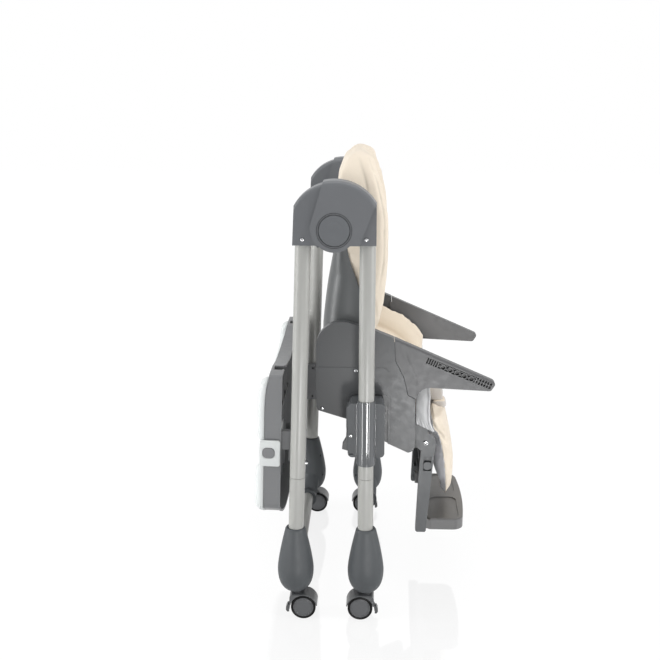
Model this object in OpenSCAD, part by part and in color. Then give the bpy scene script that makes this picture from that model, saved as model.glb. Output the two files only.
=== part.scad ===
// Folding baby high chair in its folded, self-standing position.
// +X is the child's front, +Y the child's left, +Z up, the floor is at Z = 0.
// The origin is on the floor, midway between the tray's outer face and the armrest tips.

/* [Frame] */

// distance of each leg's centre plane from the chair's middle
leg_plane = 254; // [230:1:270]
// outside diameter of the leg tubes
tube_d = 30; // [25:1:35]
// wall thickness of the tubes
tube_wall = 1.5; // [1:0.1:2.5]
// height of the hub pivot above the floor
hub_z = 787.7; // [700:0.1:850]
// distance of the hub pivot behind the front leg
hub_back = 61.2; // [50:0.1:75]
// outside radius of the hub covers
hub_r = 90; // [75:1:100]
// forward lean of the folded rear legs in degrees
rear_lean = 1.738; // [0:0.001:4]
// height of the joint between the upper and lower leg tubes
leg_joint_z = 299; // [250:1:350]

/* [Castors] */

// wheel diameter
wheel_d = 50; // [40:1:60]
// width over the twin wheels
wheel_w = 36; // [30:1:44]
// distance of the wheel axle from the swivel axis
trail = 12.5; // [8:0.5:18]

/* [Seat] */

// distance of the side panels' outer face from the middle
panel_out = 198; // [180:1:215]
// thickness of the side panels
panel_t = 18; // [12:1:24]
// slope of the armrests in degrees
arm_slope = 23.6; // [15:0.1:30]
// height of the recline pivot
recline_z = 548; // [520:1:580]

/* [Tray] */

// width over the tray
tray_w = 490; // [440:1:520]
// radius of the tray's bowed outer edge
tray_bow = 450; // [400:10:600]
// radius of the tray's hollow edge towards the child
tray_neck = 838; // [600:1:1000]
// height of the tray's side wall
tray_h = 33; // [25:1:45]
// thickness of the tray's mouldings
tray_t = 3; // [2:0.5:4]

/* [Footrest] */

// half width of the footplate
plate_half = 125; // [100:1:140]
// height of the footrest hinge
foot_hinge_z = 333; // [300:1:360]

/* [Hidden] */

$fn = 96;
front_x = 136.3;
hub_x = front_x - hub_back;
tube_r = tube_d / 2;
bore_r = tube_r + 0.06;
rear_x = -0.2;
rear_z = 203;
shift_x = 153;
wheel_r = wheel_d / 2;
recline_x = 87;
foot_hinge_x = 258;
tray_x = -67;
tray_z = -50;
tray_neck_z = 280.3;
tray_top = 298.3;
insert_neck = 1500;
insert_neck_z = 232;
low_r = 18;
top_r = 7;
horn_r = 17;
horn_in = 206;
horn_z = 271;
fillet_r = 20;

// ---------------------------------------------------------------- helpers

// moves the working frame, whose zero is at the rear feet, to the origin
module placed() {
    translate([-shift_x, 0, 0]) children();
}

// the left piece as drawn, or its mirror image on the right
module side(s) {
    if (s > 0) children();
    else mirror([0, 1, 0]) children();
}

// a flat outline in X and Z, from y0 to y1
module slab(y0, y1) {
    translate([0, y1, 0]) rotate([90, 0, 0]) linear_extrude(y1 - y0) children();
}

// a rod along Y
module rod(r, y0, y1, x, z) {
    translate([x, y1, z]) rotate([90, 0, 0]) cylinder(r = r, h = y1 - y0);
}

// a rod along X
module rod_x(r, x0, x1, y, z) {
    translate([x0, y, z]) rotate([0, 90, 0]) cylinder(r = r, h = x1 - x0);
}

// the frame that leans with the folded rear legs
module leaning() {
    translate([rear_x, 0, rear_z]) rotate([0, rear_lean, 0]) children();
}

// a rectangle with round corners
module rounded(x0, y0, x1, y1, r) {
    translate([x0 + r, y0]) square([x1 - x0 - 2 * r, y1 - y0]);
    translate([x0, y0 + r]) square([x1 - x0, y1 - y0 - 2 * r]);
    for (x = [x0 + r, x1 - r], y = [y0 + r, y1 - r]) translate([x, y]) circle(r);
}

// a disc about the hub pivot with rounded rims, from y0 to y1
module hub_disc(r, y0, y1, q) {
    translate([hub_x, 0, hub_z]) rotate([-90, 0, 0]) rotate_extrude() {
        translate([0, y0 + q]) square([r, y1 - y0 - 2 * q]);
        translate([0, y0]) square([r - q, y1 - y0]);
        intersection() {
            translate([r - q, y0]) square([q, y1 - y0]);
            union() for (y = [y0 + q, y1 - q]) translate([r - q, y]) circle(q);
        }
    }
}

// a pan-head screw along Y with its head's seat at y
module pan_screw(x, y, z, head, shank, long) {
    rod(shank, y - long, y + 0.2, x, z);
    difference() {
        union() {
            rod(head, y, y + 1.1, x, z);
            rod(head * 0.8, y + 1, y + 1.9, x, z);
        }
        for (a = [0, 90]) translate([x, y + 1.6, z]) rotate([0, a, 0])
            cube([head * 1.1, 1.2, 0.9], center = true);
    }
}

// ---------------------------------------------------------------- hubs

// outline of both hub covers, cut off straight below and at the sides
module hub_outline() {
    intersection() {
        translate([hub_x, hub_z]) circle(hub_r);
        polygon([[-1.6, 760], [152, 760], [152, 900], [1.4, 900], [1.4, 826]]);
    }
    translate([hub_x, hub_z]) circle(40);
}

// everything in front of the seam of the raised cover
module front_of_seam() {
    polygon([[58, 890], [53.5, 872], [29.8, 793], [35.3, 772], [42, 758], [46, 740],
        [160, 740], [160, 890]]);
}

// the recessed corner over the front leg
module leg_corner() {
    polygon([[147.8, 827], [121, 759], [121, 740], [170, 740], [170, 890], [173, 890]]);
}

// the front cover is a fork of two skins that the rear cover turns between
module front_hub_cover() {
    color([0.30, 0.31, 0.32]) difference() {
        intersection() {
            hub_disc(hub_r, 226, 280, 10);
            slab(220, 290) intersection() {
                hub_outline();
                front_of_seam();
            }
        }
        // room for the rear cover and its turn
        difference() {
            intersection() {
                hub_disc(hub_r - 3.2, 229.2, 276.8, 7.5);
                slab(229.2, 276.8) difference() {
                    translate([-20, 700]) square([200, 200]);
                    translate([116.5, 700]) square([60, 136]);
                }
            }
            rod(40, 262, 278, hub_x, hub_z);
            rod(40, 229, 235.7, hub_x, hub_z);
            rod(12, 229, 235.7, hub_x, hub_z);
        }
        slab(277.2, 290) leg_corner();
        slab(220, 228) leg_corner();
        rod(29.1, 258, 285, hub_x, hub_z);
        rod(8, 220, 240, hub_x, hub_z);
        difference() {
            rod(33, 278.8, 285, hub_x, hub_z);
            rod(31, 278, 286, hub_x, hub_z);
        }
        translate([front_x, leg_plane, 700]) cylinder(r = bore_r, h = 122);
        rod(2.05, 255, 285, 133.6, 771.7);
        rod(4.2, 276.6, 285, 133.6, 771.7);
    }
}

// the rear cover carries the rear leg and a hinge disc about the pivot
module rear_hub_cover() {
    color([0.31, 0.32, 0.33]) difference() {
        union() {
            difference() {
                intersection() {
                    hub_disc(hub_r - 3.8, 229.6, 276.3, 7);
                    slab(229, 277) intersection() {
                        hub_outline();
                        polygon([[-10, 755], [46, 755], [60, 787], [58, 890], [-10, 890]]);
                    }
                }
                rod(41.5, 220, 290, hub_x, hub_z);
                // moulded hollow beside the leg socket
                slab(232.6, 273.3) intersection() {
                    translate([hub_x, hub_z]) circle(hub_r - 7);
                    polygon([[38, 818], [46, 826], [55, 829], [53, 880], [30, 880], [30, 830]]);
                }
            }
            rod(39.5, 236, 256, hub_x, hub_z);
            slab(236, 256) polygon([[34, 766], [44, 752], [70, 780], [70, 826], [46, 826], [36, 812]]);
        }
        rod(8.05, 220, 290, hub_x, hub_z);
        leaning() translate([0, leg_plane, 400]) cylinder(r = bore_r, h = 219);
        rod(2.05, 255, 285, 16.8, 771);
        rod(4.2, 275.6, 285, 16.8, 771);
    }
}

module hub_pivot_pins() {
    color([0.75, 0.75, 0.76]) for (s = [-1, 1]) side(s) {
        rod(8, 225, 261, hub_x, hub_z);
        rod(12, 223, 226, hub_x, hub_z);
    }
}

// a dished round button in the middle of the hub
module fold_button() {
    color([0.29, 0.30, 0.31]) difference() {
        union() {
            rod(28.8, 263, 279.3, hub_x, hub_z);
            rod(27.8, 263, 280.4, hub_x, hub_z);
        }
        translate([hub_x, leg_plane + 176, hub_z]) sphere(r = 150.6);
        rod(25.5, 260, 275.5, hub_x, hub_z);
    }
}

module front_hub_screws() {
    color([0.82, 0.82, 0.83]) for (s = [-1, 1]) side(s)
        pan_screw(133.6, 276.7, 771.7, 3.7, 2, 15);
}

module rear_hub_screws() {
    color([0.82, 0.82, 0.83]) for (s = [-1, 1]) side(s)
        pan_screw(16.8, 275.7, 771, 3.7, 2, 14);
}

// ---------------------------------------------------------------- leg tubes

module pipe(r, z0, z1) {
    difference() {
        translate([0, 0, z0]) cylinder(r = r, h = z1 - z0);
        translate([0, 0, z0 - 1]) cylinder(r = r - tube_wall, h = z1 - z0 + 2);
    }
}

// the lower tube ends in a spigot that the upper tube sits on
module lower_tube(z0, z1) {
    pipe(tube_r, z0, z1);
    difference() {
        translate([0, 0, z1 - 15]) cylinder(r = 13.42, h = 61);
        translate([0, 0, z1 - 16]) cylinder(r = 12, h = 63);
        translate([0, 0, z1 - 16]) difference() {
            cylinder(r = 15, h = 10);
            cylinder(r = 13, h = 10);
        }
    }
    translate([0, 0, z1 - 3]) difference() {
        cylinder(r = tube_r - 1, h = 3);
        translate([0, 0, -1]) cylinder(r = 12, h = 5);
    }
}

module front_upper_tubes() {
    color([0.70, 0.69, 0.66]) for (s = [-1, 1]) side(s) difference() {
        translate([front_x, leg_plane, 0]) pipe(tube_r, leg_joint_z + 0.7, 821.9);
        rod(2.2, 262, 275, 133.6, 771.7);
    }
}

module front_lower_tubes() {
    color([0.70, 0.69, 0.66]) for (s = [-1, 1]) side(s)
        translate([front_x, leg_plane, 0]) lower_tube(96, leg_joint_z);
}

module rear_upper_tubes() {
    color([0.70, 0.69, 0.66]) for (s = [-1, 1]) side(s) difference() {
        leaning() translate([0, leg_plane, 0]) pipe(tube_r, 96.7, 618.8);
        rod(2.2, 262, 275, 16.8, 771);
        leaning() rod_x(4.6, 8, 20, leg_plane, 127);
    }
}

module rear_lower_tubes() {
    color([0.70, 0.69, 0.66]) for (s = [-1, 1]) side(s) leaning() difference() {
        translate([0, leg_plane, 0]) lower_tube(-107, 96);
        rod_x(4.6, 8, 20, leg_plane, 127);
    }
}

// spring pins that lock the two halves of each rear leg
module leg_snap_buttons() {
    color([0.93, 0.93, 0.91]) for (s = [-1, 1]) side(s) leaning() {
        rod_x(4.4, 8, 16.2, leg_plane, 127);
        translate([16.2, leg_plane, 127]) scale([0.5, 0.5, 0.5]) sphere(r = 8.6);
    }
}

// ---------------------------------------------------------------- feet

// radius of the drop-shaped foot at height z
function drop_r(z) = z < 106
    ? 36 * pow(max(0, 1 - pow((106 - z) / 50, 2.5)), 1 / 2.5)
    : 19.2 + 16.8 * (1 - pow((z - 106) / 87, 1.35));

// a drop-shaped foot with an elbow for the cross tube, about the leg's own axis
module foot(x, bar_x) {
    difference() {
        union() {
            translate([x, leg_plane, 0]) rotate_extrude() polygon(concat([[0, 58.5]],
                [for (z = [58.5, 60, 62.5, 66, 71, 77, 84, 92, 100, 106, 114, 124, 135, 147,
                    159, 171, 182, 190]) [drop_r(z), z]], [[18.6, 192], [17.6, 193], [0, 193]]));
            hull() {
                translate([x, 238, 98]) sphere(r = 23, $fn = 32);
                rod(21, 204, 208, bar_x, 58, $fn = 32);
            }
            rod(21, 188, 206, bar_x, 58);
            difference() {
                rod(22, 187, 193, bar_x, 58);
                rod(20, 186, 194, bar_x, 58);
            }
        }
        rod(14.05, 180, 209.2, bar_x, 58);
        // stem socket of the castor
        translate([x + (bar_x < x ? 3.1 : 2), leg_plane, 40]) cylinder(r = 5.55, h = 50);
        // keeps the castor's turning circle free
        translate([x, leg_plane, 0]) cylinder(r = 44, h = 57);
    }
}

// recessed screw holes on the inner flank of a foot
module foot_screw_holes(x, d) {
    for (z = [101, 150]) translate([x, leg_plane, z]) rotate([0, 0, d > 0 ? -35 : -145])
        rod_x(2.6, drop_r(z) - 7, drop_r(z) + 6, 0, 0);
}

module rear_foot() {
    color([0.30, 0.31, 0.32]) difference() {
        foot(-2, -8);
        leaning() translate([0, leg_plane, -107]) cylinder(r = bore_r, h = 120);
        foot_screw_holes(-2, 1);
    }
}

module front_foot() {
    color([0.30, 0.31, 0.32]) difference() {
        foot(138, 139);
        translate([front_x, leg_plane, 95.8]) cylinder(r = bore_r, h = 120);
        foot_screw_holes(138, -1);
    }
}

module cross_tube(x) {
    color([0.72, 0.71, 0.69]) difference() {
        rod(14, -209, 209, x, 58);
        rod(12.6, -225, 225, x, 58);
    }
}

// ---------------------------------------------------------------- castors

// castor pieces are drawn with the swivel axis at zero and the wheels towards +X
module castor_at(front, s) {
    translate([front ? 140 : 1.1, s * leg_plane, 0]) rotate([0, 0, front ? 180 : 0]) children();
}

module castor_hood() {
    color([0.30, 0.31, 0.32]) {
        difference() {
            // roof over both wheels
            slab(-19, 19) difference() {
                union() {
                    translate([trail, wheel_r]) circle(28.2);
                    rounded(trail - 27.6, 27, trail + 2, 52.8, 7);
                }
                translate([-40, -10]) square([100, 40]);
                translate([trail, wheel_r]) circle(26.2);
            }
            slab(-2.8, 2.8) translate([trail - 40, 20]) square([38, 24]);
            for (s = [-1, 1]) translate([trail - 5, s * 19, 53]) rotate([45, 0, 0])
                cube([80, 3, 3], center = true);
        }
        // web between the wheels, a fork where the brake lever sits
        difference() {
            union() {
                slab(-3.6, 3.6) polygon([[trail - 26, 51], [trail - 25, 33], [trail - 8, 19],
                    [trail + 8, 19], [trail + 14, 30], [trail + 14, 46], [trail, 51]]);
                rod(7, -3.6, 3.6, trail, wheel_r);
            }
            slab(-2.4, 2.4) polygon([[trail - 40, 49], [trail - 9, 49], [trail - 9, 14],
                [trail - 40, 14]]);
        }
        rod(1.6, -3, 3, trail - 15, 38);
        rod(3, -16.6, 16.6, trail, wheel_r);
        translate([0, 0, 51]) cylinder(r = 9, h = 6);
        translate([0, 0, 50]) cylinder(r = 5.5, h = 36);
    }
}

// each wheel is a tyre on a dished disc
module castor_wheels() {
    for (s = [-1, 1]) side(s) {
        color([0.05, 0.05, 0.05]) translate([trail, 0, wheel_r]) rotate([-90, 0, 0])
            rotate_extrude() difference() {
                rounded(20.6, 4.2, wheel_r, 18, 2);
                translate([20.6, 20]) circle(1);
            }
        color([0.31, 0.32, 0.33]) difference() {
            union() {
                rod(20.55, 4.4, 17, trail, wheel_r);
                rod(18.5, 4.4, 17.8, trail, wheel_r);
            }
            rod(16.8, 16.6, 19, trail, wheel_r);
            rod(3.06, 0, 20, trail, wheel_r);
        }
        color([0.31, 0.32, 0.33]) rod(16.7, 16.7, 17.6, trail, wheel_r);
    }
}

module castor_brake() {
    color([0.28, 0.29, 0.30]) difference() {
        union() {
            slab(-2.2, 2.2) polygon([[trail - 11, 41], [trail - 19, 42], [trail - 29, 30],
                [trail - 34, 20], [trail - 33, 14], [trail - 29, 12], [trail - 28, 22],
                [trail - 22, 32], [trail - 12, 34]]);
            slab(-6, 6) polygon([[trail - 29, 24], [trail - 32.6, 25], [trail - 35.6, 20],
                [trail - 36.2, 12], [trail - 33, 8], [trail - 29.6, 8.5], [trail - 30, 16]]);
        }
        rod(1.66, -5, 5, trail - 15, 38);
    }
}

// ---------------------------------------------------------------- tray storage bracket

module tray_bracket() {
    color([0.30, 0.31, 0.32]) leaning() difference() {
        union() {
            translate([-14, 222, 98]) cube([28, 17, 85]);
            translate([-44, 223, 144]) cube([40, 12, 38]);
            translate([-44, 223, 180]) cube([6, 12, 12]);
            translate([-20, 225.5, 120]) cube([10, 7, 30]);
        }
        translate([0, leg_plane, 50]) cylinder(r = bore_r, h = 180);
        translate([-38, 220, 149]) cube([20, 12, 12]);
        for (z = [106, 176]) rod(2.2, 220, 245, 0, z);
    }
}

// ---------------------------------------------------------------- seat

// rear part of the side panel
module panel_outline() {
    intersection() {
        union() {
            polygon([[recline_x, 598], [103, 595], [150, 582], [188.7, 566.2], [192.7, 519],
                [208.6, 486.5], [217.6, 450.4], [232.5, 442.4], [233, 345], [233, 324.5],
                [174, 352], [98, 400], [41, 417.4], [37, 424], [37, recline_z]]);
            translate([recline_x, recline_z]) circle(50);
        }
        union() {
            translate([0, 360]) square([240, 300]);
            translate([0, 345]) square([233, 20]);
            translate([219, 345]) circle(14);
            translate([100, 300]) square([119, 80]);
        }
    }
}

// front part of the side panel, which is the armrest
module rail_outline() {
    polygon([[189.3, 566], [380, 482.75], [383.5, 481], [386, 478.5], [386.8, 475.8], [386.4, 473],
        [382, 466], [380.5, 463.5], [378.5, 462], [376, 461.5], [258, 467], [254, 466.6],
        [246, 463], [240, 457.5], [236, 450.5], [233.6, 443], [218.4, 450.8], [209.4, 486.8],
        [193.4, 519.3]]);
}

// the mechanism arch around the height slider
module arch(m) {
    translate([99 - m, 300]) square([80 + 2 * m, 132]);
    translate([119 - m, 300]) square([40 + 2 * m, 153 + m]);
    for (x = [119 - m, 159 + m]) translate([x, 433]) circle(20 + m);
}

module side_panel() {
    color([0.30, 0.31, 0.32]) {
        difference() {
            slab(panel_out - panel_t, panel_out) panel_outline();
            // inner side is a ribbed shell
            slab(panel_out - panel_t - 1, panel_out - 6.5) difference() {
                intersection() {
                    panel_outline();
                    translate([41, 350]) square([186, 190]);
                    translate([3, 7]) panel_outline();
                    translate([-4, 3]) panel_outline();
                }
                for (x = [76, 118, 162, 204]) translate([x - 1, 300]) square([2, 300]);
                for (z = [440, 495]) translate([30, z - 1]) square([210, 2]);
                translate([96, 396]) square([86, 62]);
            }
            // sunk arch for the slider housing, open below
            slab(panel_out - 4, panel_out + 1) arch(0);
            // shallow step round the lower field
            slab(panel_out - 0.7, panel_out + 1) difference() {
                rounded(30, 300, 184.6, 508, 18);
                rounded(28, 298, 183, 506.4, 17);
            }
            rod(2.05, 185, 200, 49, 422);
            rod(2.05, 185, 200, 114.6, 500.6);
        }
        // lip of the arch
        slab(panel_out - 1, panel_out + 1.2) intersection() {
            panel_outline();
            difference() {
                arch(2.2);
                arch(0);
            }
        }
        // recline pivot
        rod(8, 166.5, panel_out - panel_t + 1, recline_x, recline_z);
    }
}

// along the ratchet band: u runs to the tip, v across it
module on_band() {
    translate([252.9, 522.7]) rotate(-22.1) children();
}

// ribs left standing in the ratchet band: bars, rings with crossed ribs, a lattice
module band_ribs() {
    for (i = [0:4]) translate([3 + 4.8 * i, -7]) square([1.8, 14]);
    for (i = [0:4]) translate([35 + 15 * i, -1.2]) difference() {
        circle(5.4);
        circle(4.2);
    }
    for (i = [0:5], a = [-48, 48]) translate([27.5 + 15 * i, -1.2]) rotate(a)
        square([1, 15], center = true);
    translate([24, 3.6]) square([79, 0.9]);
    for (i = [0:24]) translate([26 + 3.1 * i, 3.6]) square([1, 4]);
    translate([103, -0.4]) square([34, 1.3]);
    for (i = [0:5]) translate([103 + 5.5 * i, -7]) square([1.8, 14]);
}

module armrest_rail() {
    color([0.30, 0.31, 0.32]) difference() {
        union() {
            slab(panel_out - panel_t, panel_out) rail_outline();
            // lap behind the seam with the rear part
            slab(panel_out - panel_t - 2.4, panel_out - panel_t - 0.3) polygon([[186, 554],
                [189.4, 517.6], [205.4, 484.8], [214, 450], [222, 441], [236, 446], [236, 456],
                [223, 457], [214.6, 489], [198.6, 521.6], [195, 554]]);
            slab(panel_out - panel_t - 2.4, panel_out - panel_t + 1) polygon([[191.5, 554],
                [195.6, 520.4], [211.6, 487.8], [220.6, 454.6], [232, 448.4], [236, 452],
                [236, 456], [223, 457], [214.6, 489], [198.6, 521.6], [195, 554]]);
        }
        // rounded upper edge
        translate([189.3, panel_out, 566]) rotate([0, arm_slope, 0]) rotate([90, 0, 90])
            linear_extrude(230) translate([-4, -4]) difference() {
                square(6);
                circle(4);
            }
        // sunk ratchet band
        slab(panel_out - 5, panel_out + 1) on_band() difference() {
            translate([0, -6]) square([136.5, 12.4]);
            band_ribs();
        }
        // second bevel line behind the front cover
        slab(panel_out - 0.6, panel_out + 1) polygon([[213, 531], [215, 532], [235.4, 488],
            [236.4, 444], [234.4, 444], [233.6, 487.5]]);
    }
}

module slider_housing() {
    color([0.27, 0.28, 0.29]) {
        difference() {
            union() {
                slab(194.2, 246) rounded(103, 347, 170, 449, 8);
                slab(225, 262) rounded(101, 344.5, 172, 453.5, 9);
                slab(228, 258) rounded(98, 352, 112, 446, 4);
                translate([front_x, leg_plane, 328]) cylinder(r = 18, h = 130);
            }
            translate([front_x, leg_plane, 300]) cylinder(r = bore_r, h = 200);
            // moulded hollow, open below
            slab(200, 232) rounded(107, 300, 166, 445, 5);
            // slot of the release lever
            slab(243, 263) polygon([[96, 350], [112, 350], [112, 398], [109, 404], [96, 404]]);
            // grooves beside the sleeve
            for (x = [118.2, 154.4]) translate([x, leg_plane + 8.6, 300]) cylinder(r = 1.3, h = 200);
        }
        rod(2, 240, 262, 104.5, 397);
        difference() {
            slab(259.4, 262) rounded(101, 352, 113, 410, 1);
            rod(2.05, 259, 263, 107, 389);
        }
    }
}

module height_lever() {
    color([0.29, 0.30, 0.31]) difference() {
        slab(244, 258.8) polygon([[100.5, 401.5], [107, 401.5], [108, 395], [104, 380], [103, 359],
            [101.5, 356.5], [90, 360], [91, 369], [97.6, 381], [98.2, 393]]);
        rod(2.06, 240, 262, 104.5, 397);
    }
}

// sitting pan with side skirts and the two hinge ears of the footrest
module seat_shell() {
    color([0.29, 0.30, 0.31]) {
        difference() {
            slab(-179.8, 179.8) polygon([[64, 474], [268, 385], [280, 376], [284, 362], [284, 350],
                [232, 350], [232, 362], [62, 434]]);
            slab(-175.5, 175.5) polygon([[68, 467], [266, 381], [276, 373.5], [280, 362], [280, 345],
                [228, 340], [60, 420]]);
        }
        for (x = [110, 160, 210]) slab(-175.6, 175.6) polygon([[x, 470 - (x - 64) * 0.4363],
            [x + 3, 468.6 - (x - 64) * 0.4363], [x + 3, 440 - (x - 64) * 0.4363],
            [x, 440 - (x - 64) * 0.4363]]);
        for (s = [-1, 1]) side(s) difference() {
            slab(118, 126.6) union() {
                polygon([[236, 397], [276, 378], [276, 340], [foot_hinge_x, foot_hinge_z - 19],
                    [240, 340]]);
                translate([foot_hinge_x, foot_hinge_z]) circle(19);
            }
            rod(4.05, 110, 130, foot_hinge_x, foot_hinge_z);
        }
    }
}

// sitting cushion, front roll and the two raised side wings in one cover
module seat_pad() {
    color([0.86, 0.79, 0.70]) {
        slab(-150, 150) polygon([[84, 466.4], [262, 388.6], [270, 388], [285, 386], [292, 388],
            [296.5, 394], [296, 402], [289, 410], [270, 419], [110, 492], [90, 492]]);
        for (s = [-1, 1]) side(s) slab(150, 170) polygon([[92, 463.2], [262, 388.8], [268, 400],
            [268, 446], [263, 478], [245, 502], [206, 522], [160, 551], [128, 553], [110, 520],
            [98, 490]]);
    }
}

// strap down the front of the cushion, ending in a soft rolled tab
module crotch_strap() {
    color([0.80, 0.77, 0.72]) {
        slab(-15, 15) polygon([[299, 412], [297.6, 396], [297.6, 378], [300.6, 378], [300.8, 396],
            [302, 410]]);
        slab(-23, 23) rounded(286.5, 362.5, 308, 381.5, 8);
    }
}

module panel_screws() {
    color([0.82, 0.82, 0.83]) for (s = [-1, 1]) side(s) {
        pan_screw(49, panel_out, 422, 3.7, 2, 12);
        pan_screw(114.6, panel_out, 500.6, 3.7, 2, 12);
        pan_screw(107, 262, 389, 3.7, 2, 2.4);
    }
}

// ---------------------------------------------------------------- backrest

module back_side_outline() {
    polygon([[50, 556], [47.6, 578], [48.6, 592], [57, 664], [68.6, 729], [79.5, 800], [88, 859],
        [97, 902], [107, 902], [104, 870], [98, 810], [96.5, 740], [101, 716], [116, 671],
        [132, 625], [147, 588], [144, 578], [120, 574], [104, 566], [98, 540], [78, 535],
        [58, 540]]);
}

module back_hollow_outline() {
    polygon([[40, 500], [52.2, 578], [53.2, 592], [61.5, 663], [73, 728], [84, 799],
        [92.4, 858], [101, 897], [130, 897], [200, 800], [200, 500]]);
}

// bucket shaped back: a rear wall with two side walls
module back_shell_solid() {
    difference() {
        intersection() {
            slab(-172, 172) back_side_outline();
            // front view: rounded top corners
            translate([-50, 0, 0]) rotate([90, 0, 90]) linear_extrude(300) union() {
                rounded(-172, 500, 172, 905, 75);
                translate([-172, 500]) square([344, 200]);
            }
        }
        slab(-167.8, 167.8) back_hollow_outline();
        for (s = [-1, 1]) side(s) rod(8.06, 160, 180, recline_x, recline_z);
    }
}

module back_shell() {
    color([0.30, 0.31, 0.32]) union() {
        back_shell_solid();
        // stiffening ribs on the rear wall's inside
        for (y = [-90, 0, 90]) slab(y - 1.5, y + 1.5) polygon([[51, 600], [58, 600], [67, 664],
            [78.5, 729], [89, 800], [96, 858], [92, 858], [84, 800], [73, 729], [61.5, 664]]);
    }
}

// padded sock over the shell
module back_pad() {
    color([0.88, 0.81, 0.72]) difference() {
        intersection() {
            slab(-176, 176) polygon([[84, 862], [84.5, 880], [90, 905], [96, 919], [108, 926], [119, 926],
                [131, 915], [142, 896], [160, 851], [174, 779], [178, 727], [175, 663], [168, 598],
                [160, 560], [151, 559], [149, 588], [134, 625], [118, 671], [99, 730], [100, 800],
                [104, 858]]);
            translate([-50, 0, 0]) rotate([90, 0, 90]) linear_extrude(300) union() {
                rounded(-176, 500, 176, 927, 82);
                translate([-176, 640]) square([352, 120]);
                translate([-150, 500]) square([300, 200]);
            }
        }
        shell_room();
        // the middle lies back between the side wings
        slab(-126, 126) polygon([[128, 897], [140, 851], [130, 779], [132, 727], [131, 663],
            [135, 598], [141, 550], [200, 540], [200, 900]]);
    }
    color([0.88, 0.81, 0.72]) slab(-166, 166) polygon([[92.5, 800], [89, 760], [89, 730],
        [97, 680], [108, 640], [117, 600], [120, 563], [137, 563], [135, 598], [131, 663],
        [132, 727], [130, 779], [130, 800]]);
}

// the shell's outer box, kept out of the pad
module shell_room() {
    intersection() {
        slab(-172.3, 172.3) polygon([[50, 556], [48, 592], [57, 664], [68.6, 729], [79.5, 800],
            [88, 859], [97, 903], [108, 903], [104, 860], [100, 800], [99, 730], [118, 671],
            [134, 625], [149, 588], [144, 570]]);
        translate([-50, 0, 0]) rotate([90, 0, 90]) linear_extrude(300) union() {
            rounded(-172.3, 500, 172.3, 905.3, 75);
            translate([-172.3, 500]) square([344.6, 200]);
        }
    }
}

// ---------------------------------------------------------------- footrest

module footrest_arm() {
    color([0.30, 0.31, 0.32]) difference() {
        union() {
            slab(127.2, 146) translate([foot_hinge_x, foot_hinge_z]) circle(20);
            slab(127.2, 143) polygon([[238.4, 333], [249.4, 313.6], [245.2, 259], [241, 150],
                [240.6, 136], [243.5, 133], [260, 133], [262.6, 136], [263, 150], [268, 205],
                [273, 275], [278, 324], [278, 335]]);
        }
        rod(4, 120, 144, foot_hinge_x, foot_hinge_z);
        rod(3.02, 142, 148, foot_hinge_x, foot_hinge_z);
        // window of the release button
        slab(136, 144) rounded(254, 270, 270.5, 302, 2.5);
        // lightening pocket on the inner side
        slab(126, 139) rounded(246.5, 170, 261.5, 250, 3);
    }
}

// a round button low in the arm's window
module footrest_button() {
    color([0.28, 0.29, 0.30]) slab(138.2, 143.2) intersection() {
        translate([262.2, 281]) circle(9.4);
        translate([254.4, 270.3]) square([15.8, 19]);
    }
}

// panel behind the child's calves, with ribs to the arms
module leg_panel() {
    color([0.29, 0.30, 0.31]) {
        slab(-114, 114) polygon([[268, 322], [272, 322], [262, 160], [258, 160]]);
        for (z = [190, 240, 290]) slab(-127.1, 127.1) polygon([[251.5, z], [259 + (z - 160) / 16, z],
            [259 + (z - 160) / 16, z + 3], [251.5, z + 3]]);
    }
}

// platform for the feet with two shallow wells
module footplate() {
    color([0.36, 0.36, 0.36]) difference() {
        union() {
            translate([0, 0, 131]) linear_extrude(22.5) plate_plan(0);
            translate([0, 0, 131]) linear_extrude(24) plate_plan(1.6);
            for (s = [-1, 1]) side(s) slab(110, 127.1) polygon([[249, 136], [272, 133], [272, 152],
                [249, 162]]);
            slab(-112, 112) polygon([[256, 134], [272, 133], [272, 152], [262, 159.6],
                [256.5, 159.6]]);
        }
        // hollow below
        translate([0, 0, 128]) linear_extrude(23) plate_plan(4);
        for (s = [-1, 1]) side(s) translate([0, 0, 153]) linear_extrude(5)
            rounded(276, 9, 333.5, plate_half - 7, 16);
    }
    color([0.36, 0.36, 0.36]) for (y = [-60, 0, 60]) translate([268, y - 1.2, 134])
        cube([70, 2.4, 18]);
}

module plate_plan(d) {
    front_r = 24;
    rounded(266 + d, d - plate_half, 342.7 - d, plate_half - d, front_r - d);
    rounded(266 + d, d - plate_half, 310, plate_half - d, 8 - d / 2);
    intersection() {
        translate([348 - 960, 0]) circle(960 - d);
        translate([300, front_r - plate_half]) square([60, 2 * plate_half - 2 * front_r]);
    }
}

// cushion that hangs in front of the leg panel
module leg_pad() {
    color([0.86, 0.79, 0.70]) intersection() {
        slab(-124, 124) polygon([[290, 300], [298, 258], [303, 214], [305, 178],
            [308, 166], [313, 172], [316, 214], [318, 258], [314, 300]]);
        translate([200, 0, 0]) rotate([90, 0, 90]) linear_extrude(150) union() {
            rounded(-124, 166, 124, 420, 118);
            translate([-124, 260]) square([248, 100]);
        }
    }
}

module footrest_screws() {
    color([0.82, 0.82, 0.83]) for (s = [-1, 1]) side(s) {
        rod(4, 116, 144, foot_hinge_x, foot_hinge_z);
        rod(7, 114.5, 117.4, foot_hinge_x, foot_hinge_z);
        pan_screw(foot_hinge_x, 146, foot_hinge_z, 5.6, 3, 3);
    }
}

// ---------------------------------------------------------------- tray

// points on an arc about c, from angle a0 to a1 in n steps, without the first
function arc_points(c, r, a0, a1, n) =
    [for (i = [1:n]) c + r * [cos(a0 + (a1 - a0) * i / n), sin(a0 + (a1 - a0) * i / n)]];

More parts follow.
